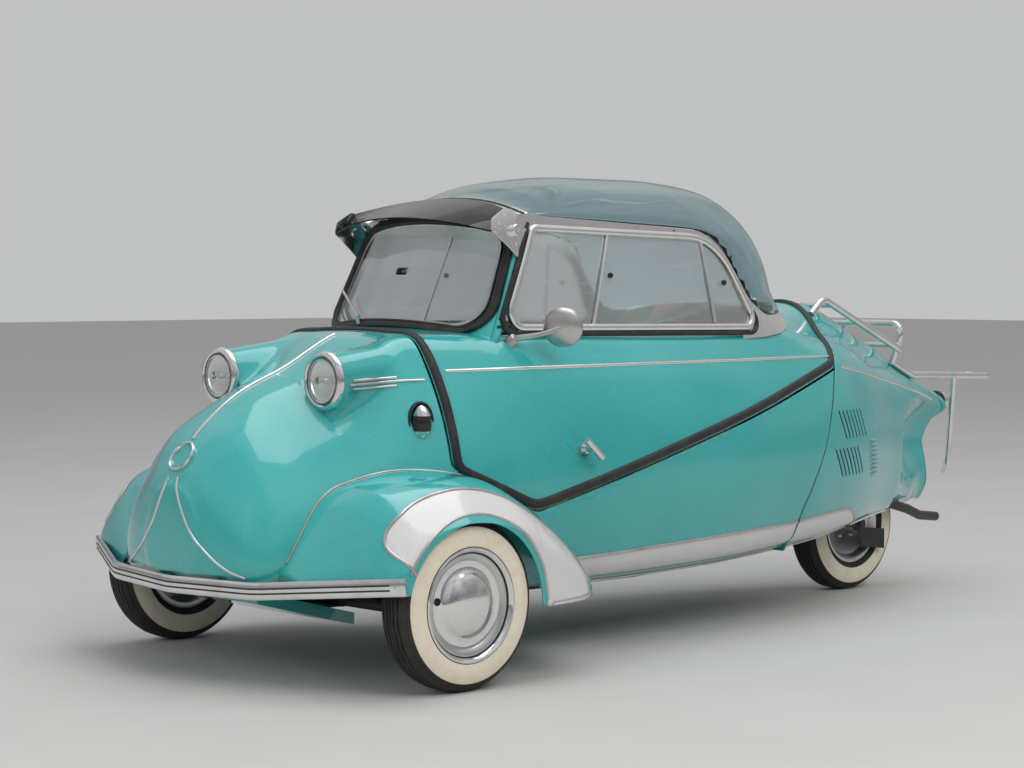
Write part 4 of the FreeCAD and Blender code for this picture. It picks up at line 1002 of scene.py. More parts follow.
    def hit(self, start: Point, toward: Point) -> tuple[np.ndarray, np.ndarray] | None:
        """Point and normal where a ray meets the skin."""
        place, normal, _, _ = self.tree.ray_cast(Vector(start), Vector(toward).normalized())
        if place is None:
            return None
        if normal.dot(Vector(toward)) > 0:
            normal = -normal
        return np.array(place), np.array(normal)

    def flank(self, x: float, z: float, side: Side = Side.LEFT) -> tuple[np.ndarray, np.ndarray]:
        """Point and normal on a flank."""
        found = self.hit((x, RAY_SIDE * side.value, z), (0.0, -side.value, 0.0))
        if found is None:
            raise ValueError(f"no flank at {x}, {z}")
        return found

    def top(self, x: float, y: float) -> tuple[np.ndarray, np.ndarray]:
        """Point and normal on the crown."""
        found = self.hit((x, y, RAY_TOP), (0.0, 0.0, -1.0))
        if found is None:
            raise ValueError(f"no crown at {x}, {y}")
        return found


# Seams between the panels


@dataclass(frozen=True)
class Seams:
    """Where the painted skin parts: canopy, tail and the fixed body."""

    gap: float = 6.0
    canopy_front: float = -130.0
    corner: Flat = (-130.0, 492.0)
    low: Flat = (-365.0, 374.0)
    rear: Flat = (-1590.0, 684.0)
    hinge_z: float = 690.0
    soft: float = 5.0
    # From low to high
    tail_line: tuple[Flat, ...] = ((-1374.0, 213.0), (-1384.0, 304.0), (-1483.0, 494.0), (-1590.0, 684.0),
                                   (-1756.0, 863.0))

    def behind(self, x: float, z: float) -> float:
        """Distance behind the tail's seam."""
        return -soft_max([-line_side(a, b, x, z) for a, b in zip(self.tail_line, self.tail_line[1:])],
                         self.soft)

    def outside(self, x: float, y: float, z: float) -> float:
        """Distance outside the canopy's region."""
        if y > 0:
            fields = (x - self.canopy_front, -line_side(self.low, self.corner, x, z),
                      -line_side(self.rear, self.low, x, z), self.behind(x, z))
        else:
            fields = (x - self.canopy_front, self.hinge_z - z, self.behind(x, z))
        return soft_max(fields, self.soft)


# Painted shell


@dataclass
class Shell:
    """Fixed body, canopy panel and tail, cut from the skin along their seams."""

    skin: Skin
    seams: Seams
    sheet: float = 5.0
    # Rear edge of the opening under the windscreen and half width of the opening under the glass, by station
    screen_corner: Flat = (-338.0, 292.0)
    screen_middle: float = -256.0
    opening: tuple[Flat, ...] = ((-1536.0, 96.0), (-1504.0, 186.0), (-1452.0, 252.0), (-1382.0, 290.0),
                                 (-1301.0, 304.0), (-1075.0, 308.0), (-330.0, 300.0))
    opening_z: float = 700.0
    well_half: float = 175.0
    well: tuple[float, float, float] = (-2290.0, -1300.0, 300.0)
    scoop: tuple[Flat, ...] = ((-2396.0, 150.0), (-2400.0, 240.0), (-2414.0, 300.0), (-2400.0, 430.0),
                               (-2434.0, 496.0), (-2498.0, 526.0), (-2560.0, 534.0))
    slot_w: float = 8.0
    slot_h: float = 81.0
    slot_pitch: float = 22.8
    slot_count: int = 7
    # Foot of the first slot of each group, x and z, and its lean
    slot_groups: tuple[Point, ...] = ((-1596.5, 486.0, -35.0), (-1581.5, 383.0, -55.0))

    def open_half(self, x: float) -> float:
        """Half width of the opening under the glass."""
        return float(np.interp(x, [p[0] for p in self.opening], [p[1] for p in self.opening]))

    def in_opening(self, x: float, y: float, z: float) -> float:
        """Field that is positive inside the opening of the canopy panel."""
        if z < self.opening_z:
            return -50.0
        (xc, yc), xm = self.screen_corner, self.screen_middle
        edge = xm + (xc - xm) * (y / yc) ** 2
        return -soft_max((x - edge, abs(y) - self.open_half(x), -1536.0 - x), 4.0)

    def behind_scoop(self, x: float, z: float) -> float:
        """Positive under and behind the tail's recess."""
        zs = [p[1] for p in self.scoop]
        edge = float(np.interp(z, zs, [p[0] for p in self.scoop]))
        return edge - x if z < self.scoop[-2][1] else min(edge - x, self.scoop[-2][1] + 2 - z)

    def in_slot(self, x: float, z: float) -> float:
        """Positive inside a louvre slot."""
        best = -1e3
        for foot_x, foot_z, lean in self.slot_groups:
            rise = (z - foot_z) / self.slot_h
            if not -0.5 < rise < 1.5:
                continue
            for i in range(self.slot_count):
                mid = foot_x - i * self.slot_pitch - lean * rise
                half = self.slot_w / 2
                dz = max(foot_z + half - z, z - foot_z - self.slot_h + half, 0.0)
                best = max(best, half - math.hypot(x - mid, dz))
        return best

    def sheet_of(self, low: float, high: float) -> bmesh.types.BMesh:
        """Skin between two stations."""
        rows = [r for r in self.skin.rows if low <= r[0][0] <= high]
        first, last = rows[0], rows[-1]
        soup = Soup().grid(rows, around=True)
        if low <= self.skin.rear:
            soup.add(first, [tuple(range(len(first)))])
        if high >= self.skin.front:
            soup.add(last, [tuple(range(len(last)))])
        return sheet_mesh(soup)

    def build(self) -> None:
        """Makes the three painted pieces."""
        gap = self.seams.gap
        body = self.sheet_of(-1800.0, 1000.0)
        cut(body, lambda x, y, z: gap - self.seams.outside(x, y, z))
        cut(body, lambda x, y, z: self.seams.behind(x, z) + gap)
        cut(body, lambda x, y, z: 61.0 - max(abs(y), abs(x + 64.0) + 5.0, abs(z - 205.0)))
        made = thick_piece("fixed_body", body, self.sheet, [TEAL, SHADED_TEAL], Body.ROOT, inner=1)
        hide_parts("nose_shell", "tub_shell")

        canopy = self.sheet_of(-1800.0, -100.0)
        cut(canopy, self.seams.outside)
        cut(canopy, self.in_opening)
        made = thick_piece("canopy_panel", canopy, self.sheet, [TEAL, SHADED_TEAL], Body.CANOPY, inner=1)
        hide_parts("canopy_shell")

        tail = self.sheet_of(-3000.0, -1350.0)
        cut(tail, lambda x, y, z: -self.seams.behind(x, z))
        x0, x1, top = self.well
        wide = self.skin.curves[1]
        cut(tail, lambda x, y, z: -max(8.0 - abs(y), abs(y) - 31.5, -1784.0 - x, x + 1700.0, 700.0 - z))
        cut(tail,
            lambda x, y, z: -max(abs(y) - min(self.well_half, wide(x) - 22.0), z - top, x - x1, x0 - x))
        cut(tail, lambda x, y, z: self.behind_scoop(x, z))
        near = [e for e in tail.edges
                if all(self.in_slot(v.co.x, v.co.z) > -16 and abs(v.co.y) > 100 for v in e.verts)]
        bmesh.ops.subdivide_edges(tail, edges=near, cuts=3, use_grid_fill=True)
        cut(tail, lambda x, y, z: self.in_slot(x, z) if abs(y) > 100 else -50.0)
        made = thick_piece("tail_cover", tail, 3.0, [TEAL, SHADED_TEAL], Body.TAIL, inner=1)
        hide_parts("tail_shell")
        self.recess()

    def recess(self) -> None:
        """Lining of the recess under the beak."""
        rows = []
        for x, z in flowing(self.scoop[1:-1], 12.0):
            if z < 256.0:
                continue
            half = abs(self.skin.flank(x + 1.0, z)[0][1]) - 0.5
            dip = 0.5 * half * math.sin(math.pi * min(max((z - 250) / 270, 0.0), 1.0))
            rows.append([(x + dip * (1 - (y / half) ** 2), y, z)
                         for y in (half * k / 8 for k in range(-8, 9))])
        thicken(Soup().grid(rows).make("tail_recess", [TEAL], Body.TAIL), 2.5)


# Front wings


@dataclass
class Fenders:
    """Front wings with white crescents round the arches."""

    skin: Skin
    # x, y_in, z_in, y_crest, z_crest, y_bead, z_bead, y_lip, z_lip, z_low
    stations: tuple[tuple[float, ...], ...] = (
        (308, 240, 262, 290, 262, 330, 252, 338, 244, 236),
        (262, 240, 345, 335, 338, 425, 292, 455, 262, 236),
        (196, 254, 418, 378, 430, 515, 384, 595, 296, 236),
        (150, 270, 446, 400, 464, 530, 420, 597, 348, 236),
        (0, 290, 474, 410, 488, 530, 455, 603.5, 385, 236),
        (-130, 310, 458, 410, 474, 540, 436, 603.5, 366, 200),
        (-240, 330, 416, 425, 426, 550, 376, 600, 318, 176),
        (-340, 350, 340, 440, 356, 545, 306, 585, 252, 176),
        (-430, 360, 250, 445, 268, 515, 236, 540, 210, 176),
        (-484, 370, 196, 420, 204, 455, 194, 470, 188, 176),
    )
    arch_r: float = 200.0
    arch: Flat = (-10.0, 185.0)
    sheet: float = 3.0
    lip: float = 17.0
    # Outer edge of the white field seen from the side, rear foot to its rounded front
    crescent: tuple[Flat, ...] = ((-408.0, 166.0), (-396.0, 200.0), (-364.0, 257.0), (-322.0, 310.0),
                                  (-234.0, 378.0), (-130.0, 435.0), (-31.0, 454.0), (77.0, 443.0),
                                  (158.0, 409.0), (200.0, 362.0), (205.0, 330.0), (181.0, 296.0),
                                  (168.0, 280.0))

    def __post_init__(self) -> None:
        """Fits a curve through each column."""
        rows = sorted(self.stations)
        xs = [r[0] for r in rows]
        self.curves = [monotone(xs, [r[k] for r in rows]) for k in range(1, 10)]
        self.rear, self.front = xs[0], xs[-1]
        self.edge = [tuple(p) for p in flowing(self.crescent, 8.0)]
        self.ring = self.edge + [(120.0, 210.0), (-240.0, 150.0)]

    def edge_z(self, x: float, z_low: float) -> float:
        """Height of the outer wall's lower edge."""
        reach = self.arch_r ** 2 - (x - self.arch[0]) ** 2
        return max(z_low, self.arch[1] + math.sqrt(reach)) if reach > 0 else z_low

    def section(self, x: float) -> np.ndarray:
        """Points (y, z) of a section from the body to the lower edge."""
        yi, zi, yc, zc, yb, zb, yl, zl, zw = [c(x) for c in self.curves]
        a, m, b = np.array([yi, zi]), np.array([yc, zc]), np.array([yb, zb])
        u, w = m - a, b - a
        cross = 2 * (u[0] * w[1] - u[1] * w[0])
        uu, ww = float(u @ u), float(w @ w)
        centre = a + np.array([w[1] * uu - u[1] * ww, u[0] * ww - w[0] * uu]) / cross
        line = [tuple(a)] + arc_points(tuple(a), tuple(m), tuple(centre), 12)
        line += arc_points(tuple(m), tuple(b), tuple(centre), 12)
        lip = (yl, zl)
        line += [(b[0] + (lip[0] - b[0]) * k / 6, b[1] + (lip[1] - b[1]) * k / 6) for k in range(1, 7)]
        low = min(self.edge_z(x, zw), zl - 1.0)
        line += [(yl, zl + (low - zl) * k / 14) for k in range(1, 15)]
        return softened(np.array(line), 2)

    def rows(self) -> list[list[Point]]:
        """Sections, closer where the arch starts and ends."""
        ends = [self.arch[0] - self.arch_r, self.arch[0] + self.arch_r]
        stops = {float(v) for v in np.arange(self.rear, self.front, 9.0)} | {self.front}
        for end in ends:
            inward = 1 if end < self.arch[0] else -1
            stops |= {end + inward * d for d in (0.05, 0.6, 1.6, 3.2, 5.5)}
        return [[(x, y, z) for y, z in self.section(x)] for x in sorted(stops)]

    def in_white(self, x: float, y: float, z: float) -> float:
        """Positive inside the white field."""
        if y < 440:
            return -50.0
        gap = 1e9
        inside = False
        count = len(self.ring)
        for i in range(count):
            (x0, z0), (x1, z1) = self.ring[i], self.ring[(i + 1) % count]
            dx, dz = x1 - x0, z1 - z0
            t = min(max(((x - x0) * dx + (z - z0) * dz) / max(dx * dx + dz * dz, 1e-6), 0.0), 1.0)
            gap = min(gap, math.hypot(x0 + dx * t - x, z0 + dz * t - z))
            if (z0 > z) != (z1 > z) and x < x0 + (z - z0) / (z1 - z0) * dx:
                inside = not inside
        outer = gap if inside else -gap
        arch = math.hypot(x - self.arch[0], z - self.arch[1]) - self.arch_r - self.lip
        return min(outer, arch) if x > -300 else outer

    def surface(self) -> Soup:
        """Uncut outer surface of the left wing."""
        return Soup().grid(self.rows())

    def build(self) -> None:
        """Makes both wings with their beads."""
        base = self.surface()
        tree = BVHTree.FromPolygons([Vector(v) for v in base.verts], base.faces)
        for side, name in ((Side.LEFT, "left"), (Side.RIGHT, "right")):
            mesh = sheet_mesh(base)
            cut(mesh, lambda x, y, z: self.buried(x, y, z))
            cut(mesh, self.in_white, drop=False, mark=1)
            if side is Side.RIGHT:
                bmesh.ops.scale(mesh, vec=(1, -1, 1), verts=mesh.verts)
                bmesh.ops.reverse_faces(mesh, faces=mesh.faces)
            made = thick_piece(f"wing_{name}", mesh, self.sheet, [TEAL, WHITE, SHADED_TEAL], Body.ROOT, inner=2)
            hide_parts(f"fender_{name}")
            beads = self.beads(tree)
            beads = beads if side is Side.LEFT else beads.mirrored()
            beads.make(f"wing_beads_{name}", [BEAD, CHROME], Body.ROOT)

    def buried(self, x: float, y: float, z: float) -> float:
        """Positive well inside the body."""
        half = self.skin.hit((x, RAY_SIDE, z), (0.0, -1.0, 0.0))
        if half is None:
            return -50.0
        return float(half[0][1]) - 6.0 - y

    def beads(self, tree: BVHTree) -> Soup:
        """Trim between wing and body, round the white field and along the arch."""
        soup = Soup()
        joint, out = [], []
        for x in np.arange(self.rear + 6, self.front - 6, 10.0):
            line = self.section(float(x))
            for (y0, z0), (y1, z1) in zip(line, line[1:]):
                f0 = self.buried(x, y0, z0) + 6.0
                f1 = self.buried(x, y1, z1) + 6.0
                if f0 > 0 >= f1:
                    t = f0 / (f0 - f1)
                    joint.append((float(x), y0 + (y1 - y0) * t, z0 + (z1 - z0) * t))
                    out.append((0.0, 0.6, 0.8))
                    break
        soup.sweep(joint, out, half_round(8.0, 5.0, 3.0))
        foot = [(float(x), 182.0) for x in np.arange(-244.0, -424.0, -8.0)]
        for line, width, material in ((self.edge, 9.0, 0), (self.arch_line(), 7.0, 0), (foot, 13.0, 1)):
            places, normals = [], []
            for x, z in line:
                place, normal, _, _ = tree.ray_cast(Vector((x, RAY_SIDE, z)), Vector((0, -1, 0)))
                if place is None or place.y < 400:
                    continue
                places.append(np.array(place))
                normals.append(np.array(normal) if normal.y > 0 else -np.array(normal))
            soup.sweep(places, normals, half_round(width, 3.5), material=material)
        return soup

    def arch_line(self) -> list[Flat]:
        """Line just outside the lip of the wheel arch."""
        r = self.arch_r + self.lip
        return [(self.arch[0] + r * math.cos(a), self.arch[1] + r * math.sin(a))
                for a in np.linspace(math.radians(26), math.radians(178), 60)]


# Trim on the skin


@dataclass
class Trim:
    """Strips, beads and lamps that sit on the painted skin."""

    skin: Skin
    seams: Seams
    # x and z seen from the side, unless said otherwise
    belt: tuple[Flat, ...] = ((-166.0, 711.0), (-302.0, 713.5), (-614.0, 715.5), (-986.0, 716.0),
                              (-1438.0, 715.0), (-1612.0, 713.5))
    tail_top: tuple[Flat, ...] = ((-1625.0, 686.0), (-1735.0, 672.0), (-1985.0, 636.0), (-2240.0, 592.0),
                                  (-2376.0, 560.0))
    sill_top: tuple[Flat, ...] = ((-470.0, 246.0), (-623.0, 250.0), (-766.0, 255.5), (-952.0, 261.5),
                                  (-1146.0, 268.0), (-1360.0, 274.0), (-1520.0, 285.0), (-1636.0, 289.0),
                                  (-1690.0, 281.0), (-1735.0, 262.0), (-1772.0, 236.0))
    sill_low: tuple[Flat, ...] = ((-470.0, 175.0), (-650.0, 174.0), (-790.0, 175.5), (-986.0, 179.0),
                                  (-1190.0, 184.5), (-1400.0, 196.0), (-1600.0, 209.0), (-1772.0, 222.0))
    # Front view of the left nose strip, y and z
    nose: tuple[Flat, ...] = ((17.0, 474.0), (21.0, 458.0), (42.0, 412.0), (76.0, 357.0), (128.0, 308.0),
                              (184.0, 273.0), (232.0, 256.0))
    spine: tuple[float, float] = (-84.0, 336.0)
    ring_z: float = 519.0
    spear: tuple[tuple[float, float, float, float], ...] = ((81.0, 683.5, -111.0, 690.5),
                                                            (72.0, 693.5, -56.0, 697.0),
                                                            (69.0, 673.5, -51.0, 677.5))

    def strip(self, soup: Soup, line: Sequence[Flat], side: Side, width: float, height: float) -> None:
        """Sweeps a crowned strip along a line of x and z on a flank."""
        hits = [self.skin.flank(float(x), float(z), side) for x, z in flowing(line, 14.0)]
        soup.bead(hits, half_round(width, height))

    def ribs(self) -> None:
        """Belt, tail and sill strips, the white sill field and the spears by the headlamps."""
        belts, tail, body = Soup(), Soup(), Soup()
        for side in Side:
            self.strip(belts, self.belt, side, 9.0, 3.5)
            self.strip(tail, self.tail_top, side, 10.0, 4.0)
            foot = [(x, float(self.skin.curves[0](x)) + 9.0) for x in np.arange(-1800.0, -2380.0, -40.0)]
            self.strip(tail, foot, side, 10.0, 5.0)
            for x0, z0, x1, z1 in self.spear:
                self.strip(body, [(x0, z0), ((x0 + x1) / 2, (z0 + z1) / 2), (x1, z1)], side, 7.5, 5.0)
        belts.make("belt_strips", [ALLOY], Body.CANOPY)
        tail.make("tail_strips", [CHROME], Body.TAIL)
        body.make("lamp_spears", [CHROME], Body.ROOT)
        self.sill()

    def sill(self) -> None:
        """White field along the foot of the flank, part on the body and part on the tail."""
        seam, front, rear = -1376.0, self.sill_top[0][0], self.sill_top[-1][0]
        top = np.array(sorted(self.sill_top))
        foot = np.array(sorted(self.sill_low))
        for name, body, low, high in (("sill_field", Body.ROOT, seam + 6.0, front),
                                      ("sill_field_tail", Body.TAIL, rear, seam - 3.0)):
            soup = Soup()
            stations = np.linspace(high, low, 40)
            for side in Side:
                rows, lines = [], ([], [])
                for x in stations:
                    x = float(x)
                    z1, z0 = (float(np.interp(x, t[:, 0], t[:, 1])) for t in (top, foot))
                    hits = [self.skin.flank(x, z0 + (z1 - z0) * k / 6, side) for k in range(7)]
                    rows.append([place for place, _ in raised(hits, 1.2)])
                    lines[0].append(hits[0])
                    lines[1].append(hits[-1])
                soup.grid(rows)
                for line in lines:
                    soup.bead(line, half_round(8.0, 4.5), material=1)
            soup.make(name, [WHITE, BEAD], body)

    def nose_trim(self) -> None:
        """Spine over the scuttle, the plain ring and the two strips down the nose."""
        soup = Soup()
        hits = [self.skin.top(float(x), 0.0) for x in np.linspace(*self.spine, 40)]
        soup.bead(hits, half_round(8.5, 5.0))
        for side in Side:
            hits = [self.skin.hit((RAY_SIDE, side.value * y, z), (-1.0, 0.0, 0.0))
                    for y, z in flowing(self.nose, 8.0)]
            hits = [h for h in hits if h is not None]
            soup.bead(hits, half_round(6.5, 4.5))
        place, normal = self.skin.hit((RAY_SIDE, 0.0, self.ring_z), (-1.0, 0.0, 0.0))
        ring = [(38.0, -6.0), (39.5, 2.0), (39.0, 5.5), (36.5, 7.5), (34.0, 5.5), (33.0, 2.0), (33.0, -6.0)]
        soup.lathe(ring, place, normal, 48)
        soup.make("nose_trim", [CHROME], Body.ROOT)

    def headlamps(self) -> None:
        """Deep rim, bright bowl, bulb cap and lens of each headlamp."""
        rims, lenses = Soup(), Soup()
        rim = [(69.0, 0.3), (70.5, 3.0), (69.5, 9.0), (65.0, 14.5), (60.0, 16.0), (56.5, 13.0), (56.5, 9.0),
               (62.0, 6.0)]
        bowl = [(57.0, 10.0), (50.0, 5.5), (34.0, 2.4), (16.0, 0.9), (0.05, 0.5)]
        cap = [(7.0, 1.0), (7.5, 6.0), (5.0, 9.0), (0.05, 10.0)]
        lens = [(56.6, 11.0), (46.0, 16.5), (30.0, 21.0), (14.0, 23.4), (0.05, 24.0)]
        for side in Side:
            x, y, z = self.skin.lamp
            centre = (x, y * side.value, z)
            rims.lathe(rim, centre, (1, 0, 0), 72, closed=True)
            rims.lathe(bowl, centre, (1, 0, 0), 72, material=1)
            rims.lathe(cap, centre, (1, 0, 0), 24)
            screw(rims, np.array([x + 12.0, y * side.value, z - 66.5]), np.array([0.6, 0.0, -0.8]), 3.0, 0)
            lenses.lathe(lens, centre, (1, 0, 0), 72)
        made = rims.make("headlamp_bezels", [CHROME, ALLOY], Body.ROOT)
        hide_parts("headlamp_rims")
        made = lenses.make("headlamp_glasses", [LENS], Body.ROOT)
        thicken(made, 2.0)
        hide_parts("headlamp_lenses")

    def side_lamps(self, place: Point = (-78.0, 324.0, 592.0), size: Point = (26.0, 46.0, 40.0),
                   turn: float = 21.0) -> None:
        """Upright half-egg lamps with bright caps and a dark band."""
        soup = Soup()
        angle = math.radians(turn)
        along = np.array([math.cos(angle), -math.sin(angle), 0.0])
        out = np.array([math.sin(angle), math.cos(angle), 0.0])
        up = np.array([0.0, 0.0, 1.0])
        bands = ((-90, -72, 0), (-72, -50, 0), (-50, -27, 0), (-27, -23, 2), (-23, 23, 1), (23, 27, 2),
                 (27, 50, 0), (50, 72, 0), (72, 90, 0))
        for low, high, material in bands:
            rows = []
            for k in range(5):
                lift = math.radians(low + (high - low) * k / 4)
                swell = 1.02 if material == 2 else (0.97 if material == 1 else 1.0)
                ring = [np.array(place) + up * size[1] * math.sin(lift) + swell * math.cos(lift)
                        * (along * size[0] * math.cos(t) + out * size[2] * math.sin(t))
                        for t in np.linspace(-0.25, math.pi + 0.25, 25)]
                rows.append(ring)
            soup.grid(rows, material)
        base = [np.array(place) + out * 7.0 + along * 29.0 * math.cos(t) + up * 49.0 * math.sin(t)
                for t in np.linspace(0, 2 * math.pi, 49)[:-1]]
        soup.grid(band(base, [out] * 48, half_round(5.0, 4.0, 12.0), closed=True), 3, around=True)
        soup.join(soup.mirrored())
        made = soup.make("side_lamp_eggs", [CHROME, DARK_LENS, BRIGHT, BLACK_RUBBER], Body.ROOT)
        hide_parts("side_lamps")

    def louvres(self) -> None:
        """Black sheet behind the slots that paints the shade seen through them, and the small pressed
        louvres beside them with painted shade in their openings.
        """
        soup = Soup()
        count, pitch = 9, 12.2
        for side in Side:
            for i in range(count):
                z = 377.0 + i * pitch
                half = 30.0 * math.sqrt(max(1.0 - ((i - (count - 1) / 2) / 5.6) ** 2, 0.05)) + 12.0
                centre = -1816.0 + (z - 377.0) * 0.30
                rows, lips = [], []
                for k in range(15):
                    t = -1 + 2 * k / 14
                    place, normal = self.skin.flank(centre + half * t, z, side)
                    swell = math.sqrt(max(1.0 - t * t, 0.0))
                    up = np.array([0.0, 0.0, 1.0])
                    rows.append([place + up * 4.2 * swell - normal,
                                 place + normal * 3.0 * swell + up * 3.0 * swell,
                                 place + normal * 5.5 * swell - up * 1.0 * swell,
                                 place + normal * 5.0 * swell - up * 4.0 * swell])
                    lips.append([place + normal * 5.0 * swell - up * 4.0 * swell,
                                 place - normal * 1.0 - up * 4.2 * swell])
                soup.grid(rows)
                # The lip under each louvre takes the near-black finish: painted shade in the louvre's
                # opening
                soup.grid(lips, 1)
        soup.make("pressed_louvres", [TEAL, DARK], Body.TAIL)
        # Near-black sheet 16 mm inside the flank: painted shade seen through the slots
        back = Soup()
        for side in Side:
            rows = []
            for x in np.linspace(-1760.0, -1545.0, 8):
                hits = [self.skin.flank(x, z, side) for z in np.linspace(370.0, 580.0, 8)]
                rows.append([place - normal * 16.0 for place, normal in hits])
            back.grid(rows)
        back.make("louvre_shade_sheet", [DARK], Body.TAIL)

    def tail_lamp(self, place: Point = (-2494.0, 0.0, 548.0)) -> None:
        """Lamp at the tip of the beak: black gasket, bright body and red glass."""
        soup = Soup()
        gasket = [(29.0, -10.0), (31.5, -4.0), (31.5, 3.0), (27.0, 5.0)]
        body = [(27.0, 2.0), (27.5, 14.0), (27.0, 28.0), (24.5, 30.5), (22.0, 29.0)]
        glass = [(22.0, 28.0), (21.0, 36.0), (15.0, 43.0), (7.0, 45.6), (0.05, 46.0)]
        for profile, material in ((gasket, 2), (body, 0), (glass, 1)):
            soup.lathe(profile, place, (-1, 0, 0), 40, material=material)
        made = soup.make("beak_lamp", [CHROME, RED, BLACK_RUBBER], Body.TAIL)
        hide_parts("tail_lamp")

    def seal(self) -> None:
        """Black rubber along the canopy's edge, over the crown at both ends."""
        inset, ahead = 12.0, self.seams.canopy_front - 12.0
        hits = [self.skin.top(ahead, float(y)) for y in np.linspace(-262.0, 262.0, 44)]
        corner = [(ahead, 760.0, 1), (ahead, 485.0, 34),
                  (self.seams.low[0] + 4, self.seams.low[1] + inset * 1.02, 70),
                  (self.seams.rear[0] + 8, self.seams.rear[1] + inset * 1.05, 12), (-1742.0, 862.0, 1)]
        side_line = rounded(corner, 16.0, closed=False)
        hits += [self.skin.flank(float(x), float(z)) for x, z in side_line if z < 745.0 or x < -1500.0
                 and z < 800.0]
        last = hits[-1][0]
        for y in np.linspace(last[1] - 14.0, -last[1], 34):
            x = -1700.0
            for _ in range(6):
                place = self.skin.top(x, float(y))
                z = float(place[0][2])
                x = -1590.0 - (z - 684.0) * 166.0 / 179.0 + 16.0
            hits.append(self.skin.top(x, float(y)))
        soup = Soup()
        profile = [(-11.0, -3.0), (-11.0, 3.0), (-8.5, 6.2), (-4.0, 8.0), (4.0, 8.0), (8.5, 6.2),
                   (11.0, 3.0), (11.0, -3.0)]
        places = softened(np.array([h[0] for h in hits]), 1)
        soup.sweep(places, [h[1] for h in hits], profile)
        made = soup.make("edge_rubber", [BLACK_RUBBER], Body.CANOPY)
        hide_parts("canopy_seal")

    def build(self) -> None:
        """Makes all trim."""
        self.ribs()
        self.nose_trim()
        self.headlamps()
        self.side_lamps()
        self.louvres()
        self.tail_lamp()
        self.seal()


# Wheels


@dataclass
class Wheel:
    """Tyre with a cream sidewall and a pressed wheel, bright in front and silver at the rear."""

    side: float
    body: Body
    centre: Point
    nodes: tuple[str, ...]
    steps: int = 96

    def tyre(self) -> Soup:
        """Tread with zigzag grooves, black shoulders and the cream field between two ridges."""
        soup = Soup()
        wall = [(103.4, 35.5, 0), (114.0, 35.5, 0), (119.0, 43.0, 0), (129.0, 48.4, 0), (131.0, 49.6, 0),
                (132.5, 48.6, 1), (145.0, 50.0, 1), (160.0, 49.0, 1), (172.0, 46.2, 1), (177.0, 44.8, 1),
                (178.2, 46.0, 0), (180.0, 44.0, 0), (184.0, 41.5, 0), (185.0, 38.5, 0), (189.5, 37.0, 0),
                (193.5, 31.0, 0), (195.5, 27.5, 0)]
        tread = [(195.8, 25.5, 0), (191.6, 24.7, 2), (191.6, 22.5, 2), (197.0, 21.5, 2), (197.6, 12.8, 2),
                 (192.6, 12.0, 2), (192.6, 9.6, 2), (197.9, 8.6, 2), (198.0, 1.6, 2), (193.0, 0.8, 2)]
        half = [(r, a, 0) for r, a, _ in wall] + [(r, a, 1 if z else 0) for r, a, z in tread]
        shade = [m for _, _, m in wall] + [0] * len(tread)
        line = half + [(r, -a, z) for r, a, z in reversed(half)]
        shades = shade + list(reversed(shade))
        out = np.array([0.0, self.side, 0.0])
        rows = []
        for r, a, zig in line:
            ring = []
            for k in range(self.steps):
                t = 2 * math.pi * k / self.steps
                shift = (1.3 if k % 4 < 2 else -1.3) if zig else 0.0
                ring.append(np.array(self.centre) + out * (a + shift) + r *
                            np.array([math.sin(t), 0.0, math.cos(t)]))
            rows.append(ring)
        for i in range(len(rows) - 1):
            cream = shades[i] == 1 and shades[i + 1] == 1
            soup.grid(rows[i:i + 2], 1 if cream else 0, around=True)
        return soup

    def make(self, rear: bool) -> None:
        """Makes the tyre, the pressed wheel and the cap."""
        name = self.nodes[0].replace("tyre_", "")
        axis = (0.0, self.side, 0.0)
        made = self.tyre().make(f"whitewall_{name}", [TYRE, CREAM], self.body, 40.0)
        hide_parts(self.nodes[0])
        rim = [(103.0, -36.0), (114.0, -36.5), (115.5, -39.0), (113.0, -40.0), (102.0, -38.0),
               (97.0, -30.0), (95.0, 10.0), (92.0, 14.0), (60.0, 8.0), (26.0, 6.0), (26.0, -24.0),
               (13.0, -24.0), (13.0, 15.0), (30.0, 15.0), (60.0, 17.0), (84.0, 22.0), (93.0, 24.0),
               (98.0, 30.0), (104.0, 37.0), (113.0, 40.5), (116.0, 40.0), (116.0, 37.0), (103.0, 36.0)]
        soup = Soup().lathe(rim, self.centre, axis, 72, closed=True)
        if rear:
            soup.lathe([(17.0, 15.0), (17.0, 24.0), (11.0, 30.0), (0.05, 31.0)], self.centre, axis, 24)
            for k in range(5):
                t = 2 * math.pi * k / 5
                c = (self.centre[0] + 42.0 * math.sin(t), self.centre[1],
                     self.centre[2] + 42.0 * math.cos(t))
                soup.lathe([(8.5, 14.0), (8.5, 21.0), (6.0, 23.0), (0.05, 23.5)], c, axis, 6)
        made = soup.make(f"pressed_wheel_{name}", [SILVER], self.body)
        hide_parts(self.nodes[1])
        if rear:
            return
        ring = [(131.5, 47.0), (130.5, 49.8), (127.0, 51.0), (123.5, 49.5), (120.0, 44.0), (116.0, 38.5),
                (108.0, 33.8), (96.0, 31.2), (86.0, 30.8), (78.0, 32.0), (73.0, 35.0), (69.0, 39.5),
                (62.0, 44.0), (48.0, 48.6), (32.0, 51.6), (16.0, 53.2), (0.05, 53.8)]
        soup = Soup().lathe(ring, self.centre, axis, 96)
        # A near-black disc paints the shade inside the hole in the hub disc
        hole = (self.centre[0] + 86.0, self.centre[1] + self.side * 30.9, self.centre[2] + 14.0)
        soup.lathe([(9.0, 0.0), (9.0, 1.6), (7.0, 2.2), (6.0, 0.6), (0.05, 0.6)], hole, axis, 24,
                   material=1)
        made = soup.make(f"wheel_disc_{name}", [BRIGHT, DARK], self.body)
        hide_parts(self.nodes[2])


